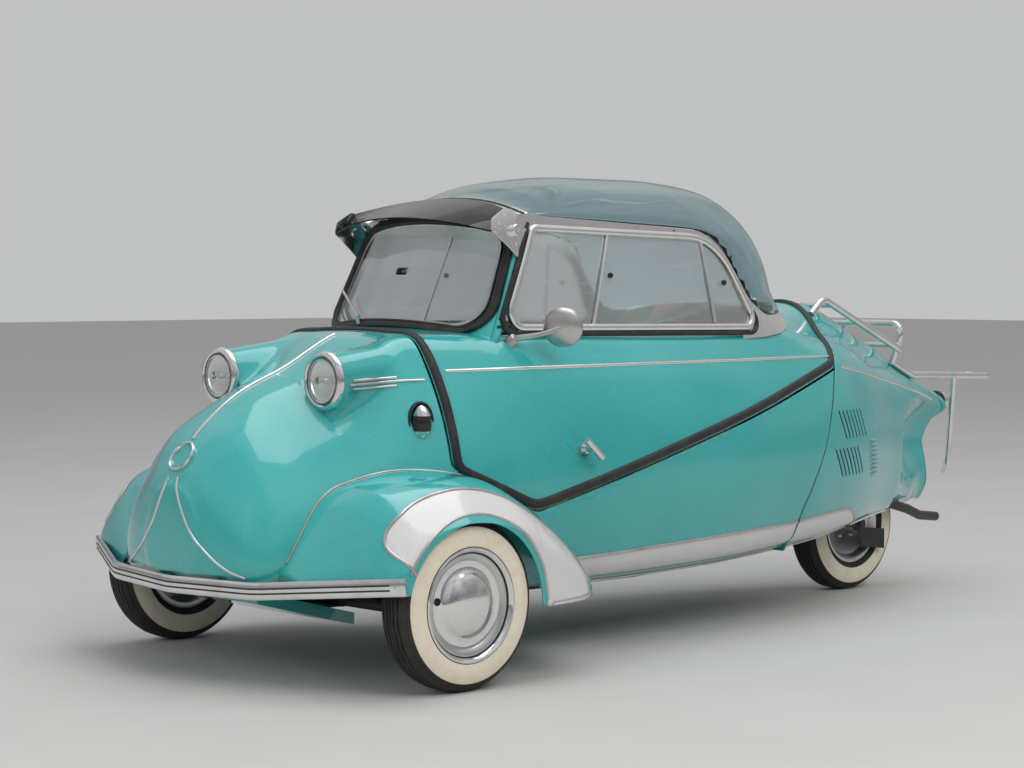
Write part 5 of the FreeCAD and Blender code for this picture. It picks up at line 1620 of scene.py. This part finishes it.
def wheels() -> None:
    """Makes the three wheels."""
    for side, word, body in ((Side.LEFT, "left", Body.WHEEL_LEFT), (Side.RIGHT, "right", Body.WHEEL_RIGHT)):
        names = (f"tyre_front_{word}", f"rim_front_{word}", f"hubcap_{word}")
        Wheel(side.value, body, (0.0, side.value * WHEEL_Y, WHEEL_R), names).make(False)
    Wheel(1.0, Body.WHEEL_REAR, (-WHEELBASE, 0.0, WHEEL_R), ("tyre_rear", "rim_rear")).make(True)


# Glass


@dataclass
class Glasshouse:
    """Tinted dome, window rails and the windscreen."""

    skin: Skin
    # x, y and z at the sill, y and z at the rail, z of the crown
    sections: tuple[tuple[float, ...], ...] = ((-330, 321, 796, 291, 1092, 1096),
                                               (-470, 322, 788, 289, 1086, 1136),
                                               (-562, 324, 784, 288, 1081, 1172),
                                               (-848, 328, 774, 287, 1067, 1196),
                                               (-1075, 328, 768, 284, 1054, 1196),
                                               (-1202, 328, 769, 276, 1016, 1189),
                                               (-1301, 324, 774, 265, 966, 1176),
                                               (-1382, 308, 782, 246, 922, 1142),
                                               (-1452, 270, 796, 210, 890, 1072),
                                               (-1504, 204, 808, 156, 866, 984),
                                               (-1536, 112, 818, 86, 850, 902))
    window: tuple[tuple[float, float, float], ...] = ((-340, 806, 46), (-462, 1058, 26), (-1150, 1041, 200),
                                                      (-1284, 795, 34))
    rail_top: tuple[Flat, ...] = ((-1560, 862), (-1460, 854), (-1389, 838), (-1341, 838), (-1305, 850),
                                  (-1268, 877), (-1236, 924), (-1206, 978), (-1176, 1022), (-1130, 1051),
                                  (-1060, 1058), (-404, 1086))
    screen_base: tuple[Point, Point] = ((-312.0, 318.0, 776.0), (-226.0, 0.0, 806.0))
    screen_top: tuple[Point, Point] = ((-434.0, 284.0, 1058.0), (-372.0, 0.0, 1090.0))
    # Half width and full height that the outlines on the windscreen are drawn at
    screen_size: Flat = (318.0, 300.0)
    # Heights of a pane edge's two ends
    pane_ends: Flat = (814.0, 1040.0)
    post_foot: Point = (-332.0, 322.0, 782.0)
    post_head: Point = (-446.0, 291.0, 1046.0)
    panes: tuple[tuple[float, float], ...] = ((-650.0, -728.0), (-1102.0, -1078.0))

    def __post_init__(self) -> None:
        """Fits the glass surface and its ray tree."""
        rows = sorted(self.sections)
        xs = [r[0] for r in rows]
        self.curves = [monotone(xs, [r[k] for r in rows]) for k in range(1, 6)]
        stops = sorted({*np.arange(-1536.0, -330.0, 14.0), -330.0, -1530.0, -1520.0})
        self.rows = [self.section(float(x)) for x in stops]
        tip = self.rows[0]
        middle = sum(p[2] for p in tip) / len(tip)
        for k in range(1, 6):
            angle = math.pi / 2 * k / 5
            share = max(math.cos(angle), 0.03)
            x, z_hub = -1536.0 - 10.0 * math.sin(angle), middle - 20
            self.rows.insert(0, [(x, y * share, z_hub + (z - middle + 20) * share) for _, y, z in tip])
        soup = Soup().grid(self.rows)
        self.tree = BVHTree.FromPolygons([Vector(v) for v in soup.verts], soup.faces)

    def section(self, x: float) -> list[Point]:
        """Points over the car from the left sill to the right sill."""
        yb, zb, yr, zr, zt = [c(x) for c in self.curves]
        sag = max(zt - zr, 1.0)
        radius = (yr ** 2 + sag ** 2) / (2 * sag)
        line = [(yb + (yr - yb) * k / 10 + 4.0 * math.sin(math.pi * k / 10), zb + (zr - zb) * k / 10)
                for k in range(11)]
        line += arc_points((yr, zr), (0.0, zt), (0.0, zt - radius), 22)
        half = softened(np.array(line), 1)
        return [(x, y, z) for y, z in half] + [(x, -y, z) for y, z in half[-2::-1]]

    def on_side(self, x: float, z: float, side: Side) -> tuple[np.ndarray, np.ndarray]:
        """Point and normal on the side of the glass."""
        place, normal, _, _ = self.tree.ray_cast(Vector((x, RAY_SIDE * side.value, z)),
                                                 Vector((0, -side.value, 0)))
        if place is None:
            raise ValueError(f"no glass at {x}, {z}")
        normal = np.array(normal)
        return np.array(place), normal if normal[1] * side.value > 0 else -normal

    def dome(self) -> None:
        """Smooth tinted shell above the rails, its foot behind the windows."""
        mesh = sheet_mesh(Soup().grid(self.rows))
        foot = np.array(self.rail_top, float)

        def below(x: float, y: float, z: float) -> float:
            """Positive below the rail's upper edge."""
            return float(np.interp(x, foot[:, 0], foot[:, 1])) - 6.0 - z

        cut(mesh, below)
        cut(mesh, lambda x, y, z: x + 458.0)
        made = thick_piece("dome_shell", mesh, 3.0, [DOME], Body.CANOPY, sharp=60.0)
        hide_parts("dome")

    def outline(self, grow: float, side: Side) -> list[tuple[np.ndarray, np.ndarray]]:
        """Places round the window, drawn outward by a distance."""
        pts = rounded(self.window, 14.0)
        middle = np.mean(pts, axis=0)
        hits = []
        for i, p in enumerate(pts):
            along = pts[(i + 1) % len(pts)] - pts[i - 1]
            out = np.array([along[1], -along[0]]) / np.linalg.norm(along)
            if np.dot(out, p - middle) < 0:
                out = -out
            q = p + out * grow
            hits.append(self.on_side(float(q[0]), float(q[1]), side))
        return hits

    def frames(self) -> None:
        """Raised beads round the windows, black rubber outside them, pane edges and knobs."""
        beads, rubber, knobs = Soup(), Soup(), Soup()
        seal = rounded([(-452, 1064, 0), (-324, 796, 36), (-1296, 785, 30), (-1262, 842, 0)], 14.0,
                       closed=False)
        cap = [(0.05, 1.0), (7.0, 1.0), (7.5, 6.0), (6.5, 7.5), (4.0, 8.0), (3.5, 11.0), (0.05, 11.5)]
        low, high = self.pane_ends
        for side in Side:
            places, normals = zip(*raised(self.outline(-5.0, side), 4.5))
            beads.grid(band(places, normals, half_round(18.0, 5.5, 2.0), closed=True), around=True)
            hits = [self.on_side(float(x), float(z), side) for x, z in seal]
            rubber.bead(raised(hits, 2.0), half_round(13.0, 6.0, 4.0))
            for x0, x1 in self.panes:
                hits = [self.on_side(x0 + (x1 - x0) * k / 12, low + (high - low) * k / 12, side)
                        for k in range(13)]
                knobs.bead(raised(hits, 3.0), half_round(9.0, 3.0, 2.0))
            for x, z in ((-721.0, 937.0), (-1153.0, 918.0)):
                knobs.lathe(cap, *self.on_side(x, z, side), 32, material=1)
            for x, z in ((-560, 1072), (-700, 1066), (-840, 1061), (-980, 1056), (-1120, 1046),
                         (-1205, 990), (-1254, 893)):
                place, normal = self.on_side(float(x), float(z) - 3.0, side)
                screw(beads, place + normal * 4.5, normal, 4.0, 1)
        beads.make("window_beads", [ALLOY, STEEL], Body.CANOPY)
        rubber.make("window_rubber", [BLACK_RUBBER], Body.CANOPY)
        knobs.make("pane_knobs", [ALLOY, BLACK_RUBBER], Body.CANOPY)

    def brackets(self) -> None:
        """Rounded plates that carry the visor, with a knob and rivets."""
        outline = [(-326, 1045, 10), (-330, 1074, 14), (-376, 1101, 14), (-414, 1090, 12), (-424, 1055, 6),
                   (-448, 1050, 6), (-414, 975, 3), (-380, 1004, 16)]
        plan = rounded(outline, 10.0)
        soup = Soup()
        for side in Side:
            def lay(x: float, z: float, out: float) -> Point:
                """Point on the plate's plane."""
                return (x, side.value * (293.5 + 0.1014 * (1092.0 - z) + out), z)

            middle = np.mean(plan, axis=0)
            rings = [[lay(*p, 0.0) for p in plan], [lay(*p, 2.6) for p in plan],
                     [lay(*(p + (middle - p) * 0.03), 3.4) for p in plan],
                     [lay(*(p + (middle - p) * 0.98), 3.4) for p in plan]]
            soup.grid(rings, around=True)
            for x, z in ((-352, 1062), (-372, 1080), (-404, 1012)):
                screw(soup, np.array(lay(x, z, 3.2)), np.array([0.0, side.value, 0.1]), 3.6, 0)
            knob = [(0.05, -4.0), (13.0, -4.0), (14.5, 4.0), (14.5, 12.0), (13.0, 14.0), (5.0, 14.0),
                    (4.0, 12.5), (0.05, 12.5)]
            soup.lathe(knob, lay(-400.0, 1046.0, 3.2), (0.0, side.value, 0.1), 18)
        made = soup.make("visor_plates", [ALLOY], Body.CANOPY)
        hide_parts("visor_brackets")

    def patch(self, u: float, v: float) -> np.ndarray:
        """Point of the windscreen, u across from -1 to 1 and v upward from 0 to 1."""
        ends = []
        for corner, middle in (self.screen_base, self.screen_top):
            c, m = np.array(corner), np.array(middle)
            ends.append(np.array([m[0] + (c[0] - m[0]) * u * u, c[1] * u, m[2] + (c[2] - m[2]) * u * u]))
        return ends[0] + (ends[1] - ends[0]) * v

    def patch_normal(self, u: float, v: float) -> np.ndarray:
        """Outward normal of the windscreen."""
        across = self.patch(u + 0.01, v) - self.patch(u - 0.01, v)
        up = self.patch(u, v + 0.01) - self.patch(u, v - 0.01)
        normal = np.cross(across, up)
        normal = normal / np.linalg.norm(normal)
        return normal if normal[0] > 0 else -normal

    def loop(self, inset: float, radius: float, count: int = 160) -> list[Flat]:
        """Rounded outline on the windscreen in u and v, with a fixed count of points."""
        wide, tall = self.screen_size
        a, b, low = wide - inset, tall / 2 - inset, radius * 1.5
        line = rounded([(a, -b, low), (a, b, radius), (-a, b, radius), (-a, -b, low)], 12.0)
        pts = np.array([(float(p[0]) / wide, float(p[1]) / tall + 0.5) for p in line + line[:1]])
        steps = np.linalg.norm(np.diff(pts, axis=0) * self.screen_size, axis=1)
        reach = np.concatenate([[0.0], np.cumsum(steps)])
        stops = np.linspace(0, reach[-1], count + 1)[:-1]
        return [(float(np.interp(s, reach, pts[:, 0])), float(np.interp(s, reach, pts[:, 1])))
                for s in stops]

    def lift(self, line: list[Flat], out: float) -> list[np.ndarray]:
        """Outline raised off the glass."""
        return [self.patch(u, v) + self.patch_normal(u, v) * out for u, v in line]

    def rubber(self) -> None:
        """Broad black frame round the windscreen, each ring by inset, corner radius and height."""
        rings = ((2.0, 70.0, -7.0), (2.0, 70.0, 3.0), (5.0, 67.0, 8.0), (13.0, 59.0, 9.0),
                 (17.0, 55.0, 6.5), (20.0, 52.0, 8.0), (24.0, 48.0, 6.0), (26.0, 46.0, 1.0),
                 (26.0, 46.0, -7.0), (2.0, 70.0, -7.0))
        soup = Soup().grid([self.lift(self.loop(inset, radius), out) for inset, radius, out in rings],
                           around=True)
        made = soup.make("screen_rubber", [BLACK_RUBBER], Body.CANOPY, 50.0)
        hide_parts("windscreen_gasket")

    def posts(self) -> None:
        """Posts beside the windscreen and the narrow field round its rubber."""
        soup = Soup()
        foot, head = np.array(self.post_foot), np.array(self.post_head)
        for side in Side:
            rows = []
            for k in range(15):
                v = -0.02 + 1.0 * k / 14
                front = self.patch(side.value * 0.985, v) - self.patch_normal(side.value * 0.985, v) * 3.0
                rear = (foot + (head - foot) * v) * (1.0, side.value, 1.0)
                swell = [np.array([0.0, side.value * 5.0 * math.sin(math.pi * t / 5), 0.0])
                         for t in range(6)]
                rows.append([front + (rear - front) * t / 5 + swell[t] for t in range(6)])
            soup.grid(rows)
            for row, spot in ((2, 2), (2, 3), (3, 2)):
                screw(soup, rows[row][spot], np.array([0.35, 0.93 * side.value, 0.0]), 4.0, 1)
        near, far = self.loop(10.0, 62.0), self.loop(-7.0, 8.0)
        middle = [((a + c) / 2, (b + d) / 2) for (a, b), (c, d) in zip(near, far)]
        soup.grid([self.lift(line, -5.0) for line in (near, middle, far)], around=True)
        made = soup.make("screen_posts", [TEAL, STEEL], Body.CANOPY)
        thicken(made, 2.0, 0.0)

    def windscreen(self) -> None:
        """Curved glass with round corners."""
        rim = self.loop(20.0, 52.0, 96)
        rows = [[self.patch(u * s, 0.5 + (v - 0.5) * s) - self.patch_normal(u * s, v) * 1.0 for u, v in rim]
                for s in np.linspace(1.0, 0.02, 14)]
        mesh = sheet_mesh(Soup().grid(rows, around=True))
        made = thick_piece("screen_glass", mesh, 4.0, [CLEAR], Body.CANOPY)
        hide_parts("windscreen")

    def build(self) -> None:
        """Makes all glass."""
        self.dome()
        self.frames()
        self.brackets()
        self.rubber()
        self.posts()
        self.windscreen()


# Bumper, hinges and small fittings


@dataclass
class Fittings:
    """Bumper, hinges, mirror, handle gasket and wheel flaps."""

    skin: Skin

    def bumper(self) -> None:
        """Rounded blade with two rubber strips, end screws and irons."""
        corners = [(205, 604, 258, 0), (372, 272, 232, 160), (410, 0, 228, 160), (372, -272, 232, 160),
                   (205, -604, 258, 0)]
        path = rounded(corners, 12.0, closed=False)
        out = []
        for i in range(len(path)):
            along = path[min(i + 1, len(path) - 1)] - path[max(i - 1, 0)]
            across = np.array([along[1], -along[0], 0.0])
            across = across / np.linalg.norm(across)
            out.append(across if across[0] > 0 else -across)
        h, t = 20.0, 7.0
        profile = [(-h, -t + 2), (-h, 1.0), (-h + 3.0, 3.6), (-h + 7.0, 4.8), (0, 5.6), (h - 7.0, 4.8),
                   (h - 3.0, 3.6), (h, 1.0), (h, -t + 2), (h - 1.5, -t + 1.0), (h - 3, -t + 2),
                   (h - 4, 1.0), (0, 3.0), (-h + 4, 1.0), (-h + 3, -t + 2), (-h + 1.5, -t + 1.0)]
        soup = Soup()
        soup.sweep(path, out, profile)
        inner = slice(3, len(path) - 3)
        for centre in (-5.5, 5.5):
            strip = [(centre + s, o) for s, o in half_round(6.5, t, -4.0)]
            soup.sweep(path[inner], out[inner], strip, material=1)
        for side in (1, -1):
            soup.box((304.0, side * 100.0, 212.0), (392.0, side * 130.0, 230.0), 2)
        for i in (2, len(path) - 3):
            screw(soup, path[i] + out[i] * 4.0, out[i], 6.0, 0)
        made = soup.make("bumper_blade", [CHROME, BLACK_RUBBER, STEEL], Body.ROOT)
        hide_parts("front_bumper")

    def hinges(self) -> None:
        """Leaves and barrels of the canopy's and the tail's hinges."""
        fixed, moving, tail = Soup(), Soup(), Soup()
        for x in (-480.0, -1180.0):
            for soup, low, high, drop in ((fixed, x - 30.3, x - 0.3, -26.0),
                                          (moving, x + 0.3, x + 30.3, 8.0)):
                ring = [(0.05, 0.0), (5.5, 0.0), (7.0, 1.5), (7.0, 28.5), (5.5, 30.0), (0.05, 30.0)]
                soup.lathe(ring, (low, -424.0, 690.0), (1, 0, 0), 24)
                soup.box((low, -427.0, 690.0 + drop), (high, -400.0, 690.0 + drop + 18.0))
                for share in (0.25, 0.75):
                    place = np.array([low + (high - low) * share, -427.0, 690.0 + drop + 9.0])
                    screw(soup, place, np.array([0.0, -1.0, 0.0]), 3.2, 0)
        for side in (1, -1):
            ring = [(0.05, 0.0), (5.0, 0.0), (6.0, 1.2), (6.0, 19.5), (5.0, 20.7), (0.05, 20.7)]
            tail.lathe(ring, (-1772.0, side * 30.3, 856.0), (0, side, 0), 24)
        fixed.make("hinge_leaves", [CHROME], Body.ROOT)
        moving.make("hinge_leaves_canopy", [CHROME], Body.CANOPY)
        tail.make("hinge_barrels_tail", [CHROME], Body.TAIL)

    def mirror(self, base: Point = (-361.0, 338.0, 784.0), head: Point = (-446.0, 424.0, 812.0)) -> None:
        """Egg-shaped mirror head on a tapered arm, its back to the front."""
        soup = Soup()
        toward = np.array([-0.80, -0.55, 0.10])
        back = [(0.05, -20.0), (12.0, -19.5), (26.0, -17.0), (38.0, -12.0), (46.0, -5.0), (49.0, 2.0),
                (48.5, 5.0), (46.0, 6.0), (44.5, 4.0)]
        soup.lathe(back, head, toward, 48)
        soup.lathe([(44.8, 4.0), (0.05, 3.6)], head, toward, 48, material=1)
        start, end = np.array(base), np.array(head) - toward / np.linalg.norm(toward) * 14.0
        middle = (start + end) / 2 + np.array([4.0, 6.0, -4.0])
        line = flowing([start, middle, end], 8.0)
        soup.grid(pipe(line, lambda t: 8.5 - 3.5 * min(t * 1.6, 1.0) + 2.0 * t, 16), around=True, ends=True)
        foot = [(0.05, 9.0), (9.0, 8.0), (13.0, 4.0), (15.5, -1.0), (16.0, -22.0)]
        soup.lathe(foot, base, (0.0, 0.72, 0.69), 28)
        made = soup.make("mirror_egg", [BEAD, BRIGHT], Body.CANOPY)
        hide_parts("mirror")

    def small(self) -> None:
        """Handle gasket, and the flaps on the swing arm's boss."""
        flaps, canopy = Soup(), Soup()
        place, normal = self.skin.flank(-516.0, 516.0)
        canopy.lathe([(17.0, -1.0), (17.0, 2.5), (14.5, 4.0), (11.0, 4.0), (10.0, 2.0)], place, normal, 32)
        for side in (1, -1):
            flap = [(-2016.0, 190.0), (-2145.0, 177.0), (-2145.0, 117.0), (-2035.0, 131.0)]
            verts = [(x, side * (69.0 + d), z) for d in (0.0, 3.0) for x, z in flap]
            flaps.add(verts,
                      [(0, 1, 2, 3), (7, 6, 5, 4), (0, 4, 5, 1), (1, 5, 6, 2), (2, 6, 7, 3), (3, 7, 4, 0)])
        flaps.make("wheel_flaps", [BLACK_RUBBER], Body.ROOT)
        canopy.make("handle_gasket", [BLACK_RUBBER], Body.CANOPY)

    def build(self) -> None:
        """Makes all fittings."""
        self.bumper()
        self.hinges()
        self.mirror()
        self.small()


# Seats

VOXEL = 6.0
PRESSURE = 4.0
CLOTH_FRAMES = 20
# Farthest that the cover swells, and how much smaller the block starts on each side
SWELL = 24.0
BLOCK_SHY = 9.0


@dataclass(frozen=True)
class Pad:
    """Stuffed cushion, its size and place in millimetres, tilt in degrees about its foot."""

    name: str
    node: str
    centre: Point
    size: Point
    tilt: float
    pivot: Flat
    upright: bool

    def make(self) -> None:
        """Swells a block under its cover, then presses in the sewn channels."""
        half = [max(s / 2 - BLOCK_SHY, 8.0) for s in self.size]
        mesh = bpy.data.meshes.new(self.name)
        block = bmesh.new()
        bmesh.ops.create_cube(block, size=2.0)
        bmesh.ops.scale(block, vec=[h * MM for h in half], verts=block.verts)
        bmesh.ops.bevel(block, geom=list(block.edges), offset=16.0 * MM, segments=4, affect="EDGES",
                        profile=0.5)
        block.to_mesh(mesh)
        block.free()
        made = bpy.data.objects.new(self.name, mesh)
        bpy.context.scene.collection.objects.link(made)
        bpy.context.view_layer.objects.active = made
        remesh = made.modifiers.new("even", "REMESH")
        remesh.mode = "VOXEL"
        remesh.voxel_size = VOXEL * MM
        self.baked(made, remesh)
        start = np.array([v.co for v in made.data.vertices])
        cloth = made.modifiers.new("cover", "CLOTH")
        settings = cloth.settings
        settings.use_pressure = True
        settings.uniform_pressure_force = PRESSURE
        settings.effector_weights.gravity = 0.0
        scene = bpy.context.scene
        for frame in range(1, CLOTH_FRAMES + 1):
            scene.frame_set(frame)
        self.baked(made, cloth)
        scene.frame_set(1)
        moved = np.array([v.co for v in made.data.vertices]) - start
        reach = np.linalg.norm(moved, axis=1)
        scale = np.minimum(1.0, SWELL * MM / np.maximum(reach, 1e-9))[:, None]
        shape = start + moved * scale
        limit = np.array(self.size) / 2 * MM - 0.5 * MM
        shape = np.clip(shape, -limit, limit)
        made.data.vertices.foreach_set("co", shape.ravel())
        finer = made.modifiers.new("finer", "SUBSURF")
        finer.levels = 1
        self.baked(made, finer)
        self.sewn(made)
        made.data.materials.clear()
        made.data.materials.append(SEAT.material())
        made.data.shade_smooth()
        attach(made, Body.ROOT.value)
        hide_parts(self.node)
        LOG.info("%s: %d faces", self.name, len(made.data.polygons))

    def baked(self, made: bpy.types.Object, modifier: bpy.types.Modifier) -> None:
        """Keeps the shape that a modifier gives and takes the modifier off."""
        graph = bpy.context.evaluated_depsgraph_get()
        fresh = bpy.data.meshes.new_from_object(made.evaluated_get(graph))
        old = made.data
        made.modifiers.remove(modifier)
        made.data = fresh
        bpy.data.meshes.remove(old)

    def sewn(self, made: bpy.types.Object) -> None:
        """Presses channels into the face and a seam round the edge, then sets the pad in its place."""
        face = 0 if self.upright else 2
        pitch = 70.0 * MM
        points = np.array([v.co for v in made.data.vertices])
        depth = np.exp(-((((points[:, 1] / pitch) + 0.5) % 1.0 - 0.5) * pitch / (5.0 * MM)) ** 2)
        edge = np.clip((np.abs(points[:, 1]) - (self.size[1] / 2 - 55.0) * MM) / (12.0 * MM), 0, 1)
        top = np.clip(points[:, face] / (self.size[face] / 2 * MM) - 0.35, 0, 1)
        points[:, face] -= 6.0 * MM * depth * top * (1 - edge)
        band_z = points[:, face] / (self.size[face] / 2 * MM)
        seam = np.exp(-((band_z - 0.45) / 0.09) ** 2)
        flat = [k for k in range(3) if k != face]
        for k in flat:
            near = np.clip(np.abs(points[:, k]) / (self.size[k] / 2 * MM) - 0.86, 0, 0.1) / 0.1
            points[:, k] -= np.sign(points[:, k]) * 2.5 * MM * seam * near
        angle = math.radians(self.tilt)
        x = points[:, 0] + self.centre[0] * MM - self.pivot[0] * MM
        z = points[:, 2] + self.centre[2] * MM - self.pivot[1] * MM
        points[:, 0] = x * math.cos(angle) + z * math.sin(angle) + (self.pivot[0] + FRONT_AXLE_X) * MM
        points[:, 2] = -x * math.sin(angle) + z * math.cos(angle) + self.pivot[1] * MM
        points[:, 1] += self.centre[1] * MM
        made.data.vertices.foreach_set("co", points.ravel())
        made.data.update()


def seats() -> None:
    """Makes the four seat pads."""
    for pad in (Pad("driver_cushion", "front_cushion", (-689.0, 0.0, 300.0), (338.0, 420.0, 100.0), 0.0,
                    (0.0, 0.0), False),
                Pad("driver_back", "front_backrest", (-910.0, 0.0, 480.0), (80.0, 400.0, 420.0), -12.0,
                    (-930.0, 350.0), True),
                Pad("passenger_cushion", "rear_cushion", (-1159.0, 0.0, 310.0), (198.0, 570.0, 120.0), 0.0,
                    (0.0, 0.0), False),
                Pad("passenger_back", "rear_backrest", (-1299.0, 0.0, 485.0), (70.0, 530.0, 430.0), -4.0,
                    (-1322.0, 370.0), True)):
        pad.make()


# Stage, lights and camera


@dataclass
class Studio:
    """Pale floor, soft sky and lights, and the camera."""

    floor_colour: Point = (0.50, 0.495, 0.48)
    backdrop: Point = (0.86, 0.87, 0.88)
    # Brightness of the sky from straight down to straight up, and the tints of its clouds
    sky: tuple[Flat, ...] = ((0.0, 0.52), (0.49, 0.60), (0.53, 0.42), (0.60, 0.62), (0.80, 0.95),
                             (1.0, 1.1))
    clouds: tuple[tuple[float, Point], ...] = ((0.40, (0.62, 0.66, 0.72)), (0.62, (1.25, 1.22, 1.18)))
    camera: Point = (4.6863, 4.4981, 0.9279)
    heading: float = 3.9606
    pitch: float = -0.0443
    focal: float = 83.15

    def floor(self) -> None:
        """Makes the pale floor."""
        g = Graph("floor")
        fine = g.noise(3.0, 6.0)
        colour = g.blend(fine.step(0.35, 0.7) * 0.5, self.floor_colour,
                         tuple(c * 0.94 for c in self.floor_colour))
        material = g.finish(Base_Color=colour, Roughness=0.75)
        half = 40.0
        mesh = bpy.data.meshes.new("floor")
        mesh.from_pydata([(-half, -half, 0), (half, -half, 0), (half, half, 0), (-half, half, 0)], [],
                         [(0, 1, 2, 3)])
        mesh.materials.append(material)
        made = bpy.data.objects.new("floor", mesh)
        bpy.context.scene.collection.objects.link(made)

    def world(self) -> None:
        """Soft clouded sky with a pale band at the horizon; the camera itself sees an even grey."""
        world = bpy.data.worlds.new("studio")
        bpy.context.scene.world = world
        world.use_nodes = True
        g = Tree(world.node_tree)
        toward = g.node("ShaderNodeTexCoord", {}, {}).outputs["Generated"]
        up = g.node("ShaderNodeSeparateXYZ", {}, [toward]).outputs[2]
        height = g.node("ShaderNodeMath", {"operation": "MULTIPLY_ADD"}, [up, 0.5, 0.5]).outputs[0]
        greys = [(place, (value, value, value * 1.02)) for place, value in self.sky]
        sky = g.node("ShaderNodeValToRGB", {"stops": greys}, [height]).outputs[0]
        noise = g.node("ShaderNodeTexNoise", {}, {"Vector": toward, "Scale": 2.2, "Detail": 4.0}).outputs[0]
        cloud = g.node("ShaderNodeValToRGB", {"stops": self.clouds}, [noise]).outputs[0]
        seen = g.node("ShaderNodeLightPath", {}, {}).outputs["Is Camera Ray"]
        colour = g.blend(seen, g.blend(0.8, sky, cloud, "MULTIPLY"), self.backdrop)
        back = g.node("ShaderNodeBackground", {}, {"Color": colour, "Strength": 0.62})
        g.node("ShaderNodeOutputWorld", {}, [back.outputs[0]])

    def lamps(self) -> None:
        """Broad key from the camera's left and above, and a fill."""
        for name, place, size, power, colour in (
                ("key", (1.5, 6.5, 6.0), 4.5, 300.0, (1.0, 0.98, 0.95)),
                ("sky", (-1.0, 0.5, 8.0), 7.0, 260.0, (0.94, 0.97, 1.0)),
                ("front", (8.0, 1.0, 3.5), 4.0, 150.0, (1.0, 0.99, 0.97))):
            light = bpy.data.lights.new(name, "AREA")
            light.shape = "SQUARE"
            light.size = size
            light.energy = power
            light.color = colour
            made = bpy.data.objects.new(name, light)
            made.visible_glossy = name == "sky"
            made.location = place
            made.rotation_euler = (Vector((0, 0, 0.5)) - Vector(place)).to_track_quat("-Z", "Y").to_euler()
            bpy.context.scene.collection.objects.link(made)

    def shot(self) -> None:
        """Sets the camera where the photograph was taken."""
        data = bpy.data.cameras.new("camera")
        data.lens = self.focal
        data.sensor_width = 36.0
        data.clip_end = 300.0
        made = bpy.data.objects.new("camera", data)
        made.location = self.camera
        look = Vector((math.cos(self.pitch) * math.cos(self.heading),
                       math.cos(self.pitch) * math.sin(self.heading), math.sin(self.pitch)))
        made.rotation_euler = look.to_track_quat("-Z", "Y").to_euler()
        bpy.context.scene.collection.objects.link(made)
        bpy.context.scene.camera = made

    def build(self) -> None:
        """Sets the stage."""
        bpy.context.scene.view_settings.view_transform = "Standard"
        self.floor()
        self.world()
        self.lamps()
        self.shot()


# Nodes that keep their own shape

DRESS: dict[Finish,
            tuple[str, ...]] = {CHROME: ("front_bumper", "headlamp_rims", "luggage_rack", "mirror", "wiper",
                                         "door_handle", "side_lamps"),
                                BRIGHT: ("hubcap_left", "hubcap_right"),
                                ALLOY: ("window_frames", "dome_flange", "header", "visor_brackets"),
                                SILVER: ("rim_front_left", "rim_front_right", "rim_rear"),
                                STEEL: ("front_axle", "chassis_frame", "swing_arm", "exhaust", "handlebar",
                                        "knuckle_left", "knuckle_right", "tie_rod_left", "tie_rod_right",
                                        "seat_frame", "column_bracket"), ENGINE: ("engine_block",),
                                # The cabin's painted nodes take the darker teal copy of the body paint:
                                # painted shade
                                SHADED_TEAL: ("dashboard", "bulkhead", "bench_box"), TEAL: ("undertray",),
                                BLACK_RUBBER: ("windscreen_gasket", "canopy_seal"),
                                TYRE: ("tyre_front_left", "tyre_front_right", "tyre_rear"),
                                CLEAR: ("windscreen",), PLEXI: ("side_windows",),
                                LENS: ("headlamp_lenses",), DOME: ("dome",), VISOR: ("sun_visor",),
                                RED: ("tail_lamp",),
                                SEAT: ("front_cushion", "front_backrest", "rear_cushion", "rear_backrest"),}


def dress(nodes: dict[str, bpy.types.Object]) -> None:
    """Gives every node of the frame its finish."""
    for finish, names in DRESS.items():
        for name in names:
            if nodes[name].material_slots:
                for place in nodes[name].material_slots:
                    place.material = finish.material()
    LOG.info("dressed %d nodes", sum(len(names) for names in DRESS.values()))


def main() -> None:
    """Builds the scene round the frame."""
    logging.basicConfig(level=logging.INFO, format="%(asctime)s %(message)s")
    for thing in list(bpy.data.objects):
        bpy.data.objects.remove(thing)
    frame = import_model()
    dress(frame["nodes"])
    Studio().build()
    skin = Skin()
    seams = Seams()
    Shell(skin, seams).build()
    Fenders(skin).build()
    Trim(skin, seams).build()
    wheels()
    Glasshouse(skin).build()
    Fittings(skin).build()
    seats()


if __name__ == "__main__":
    main()
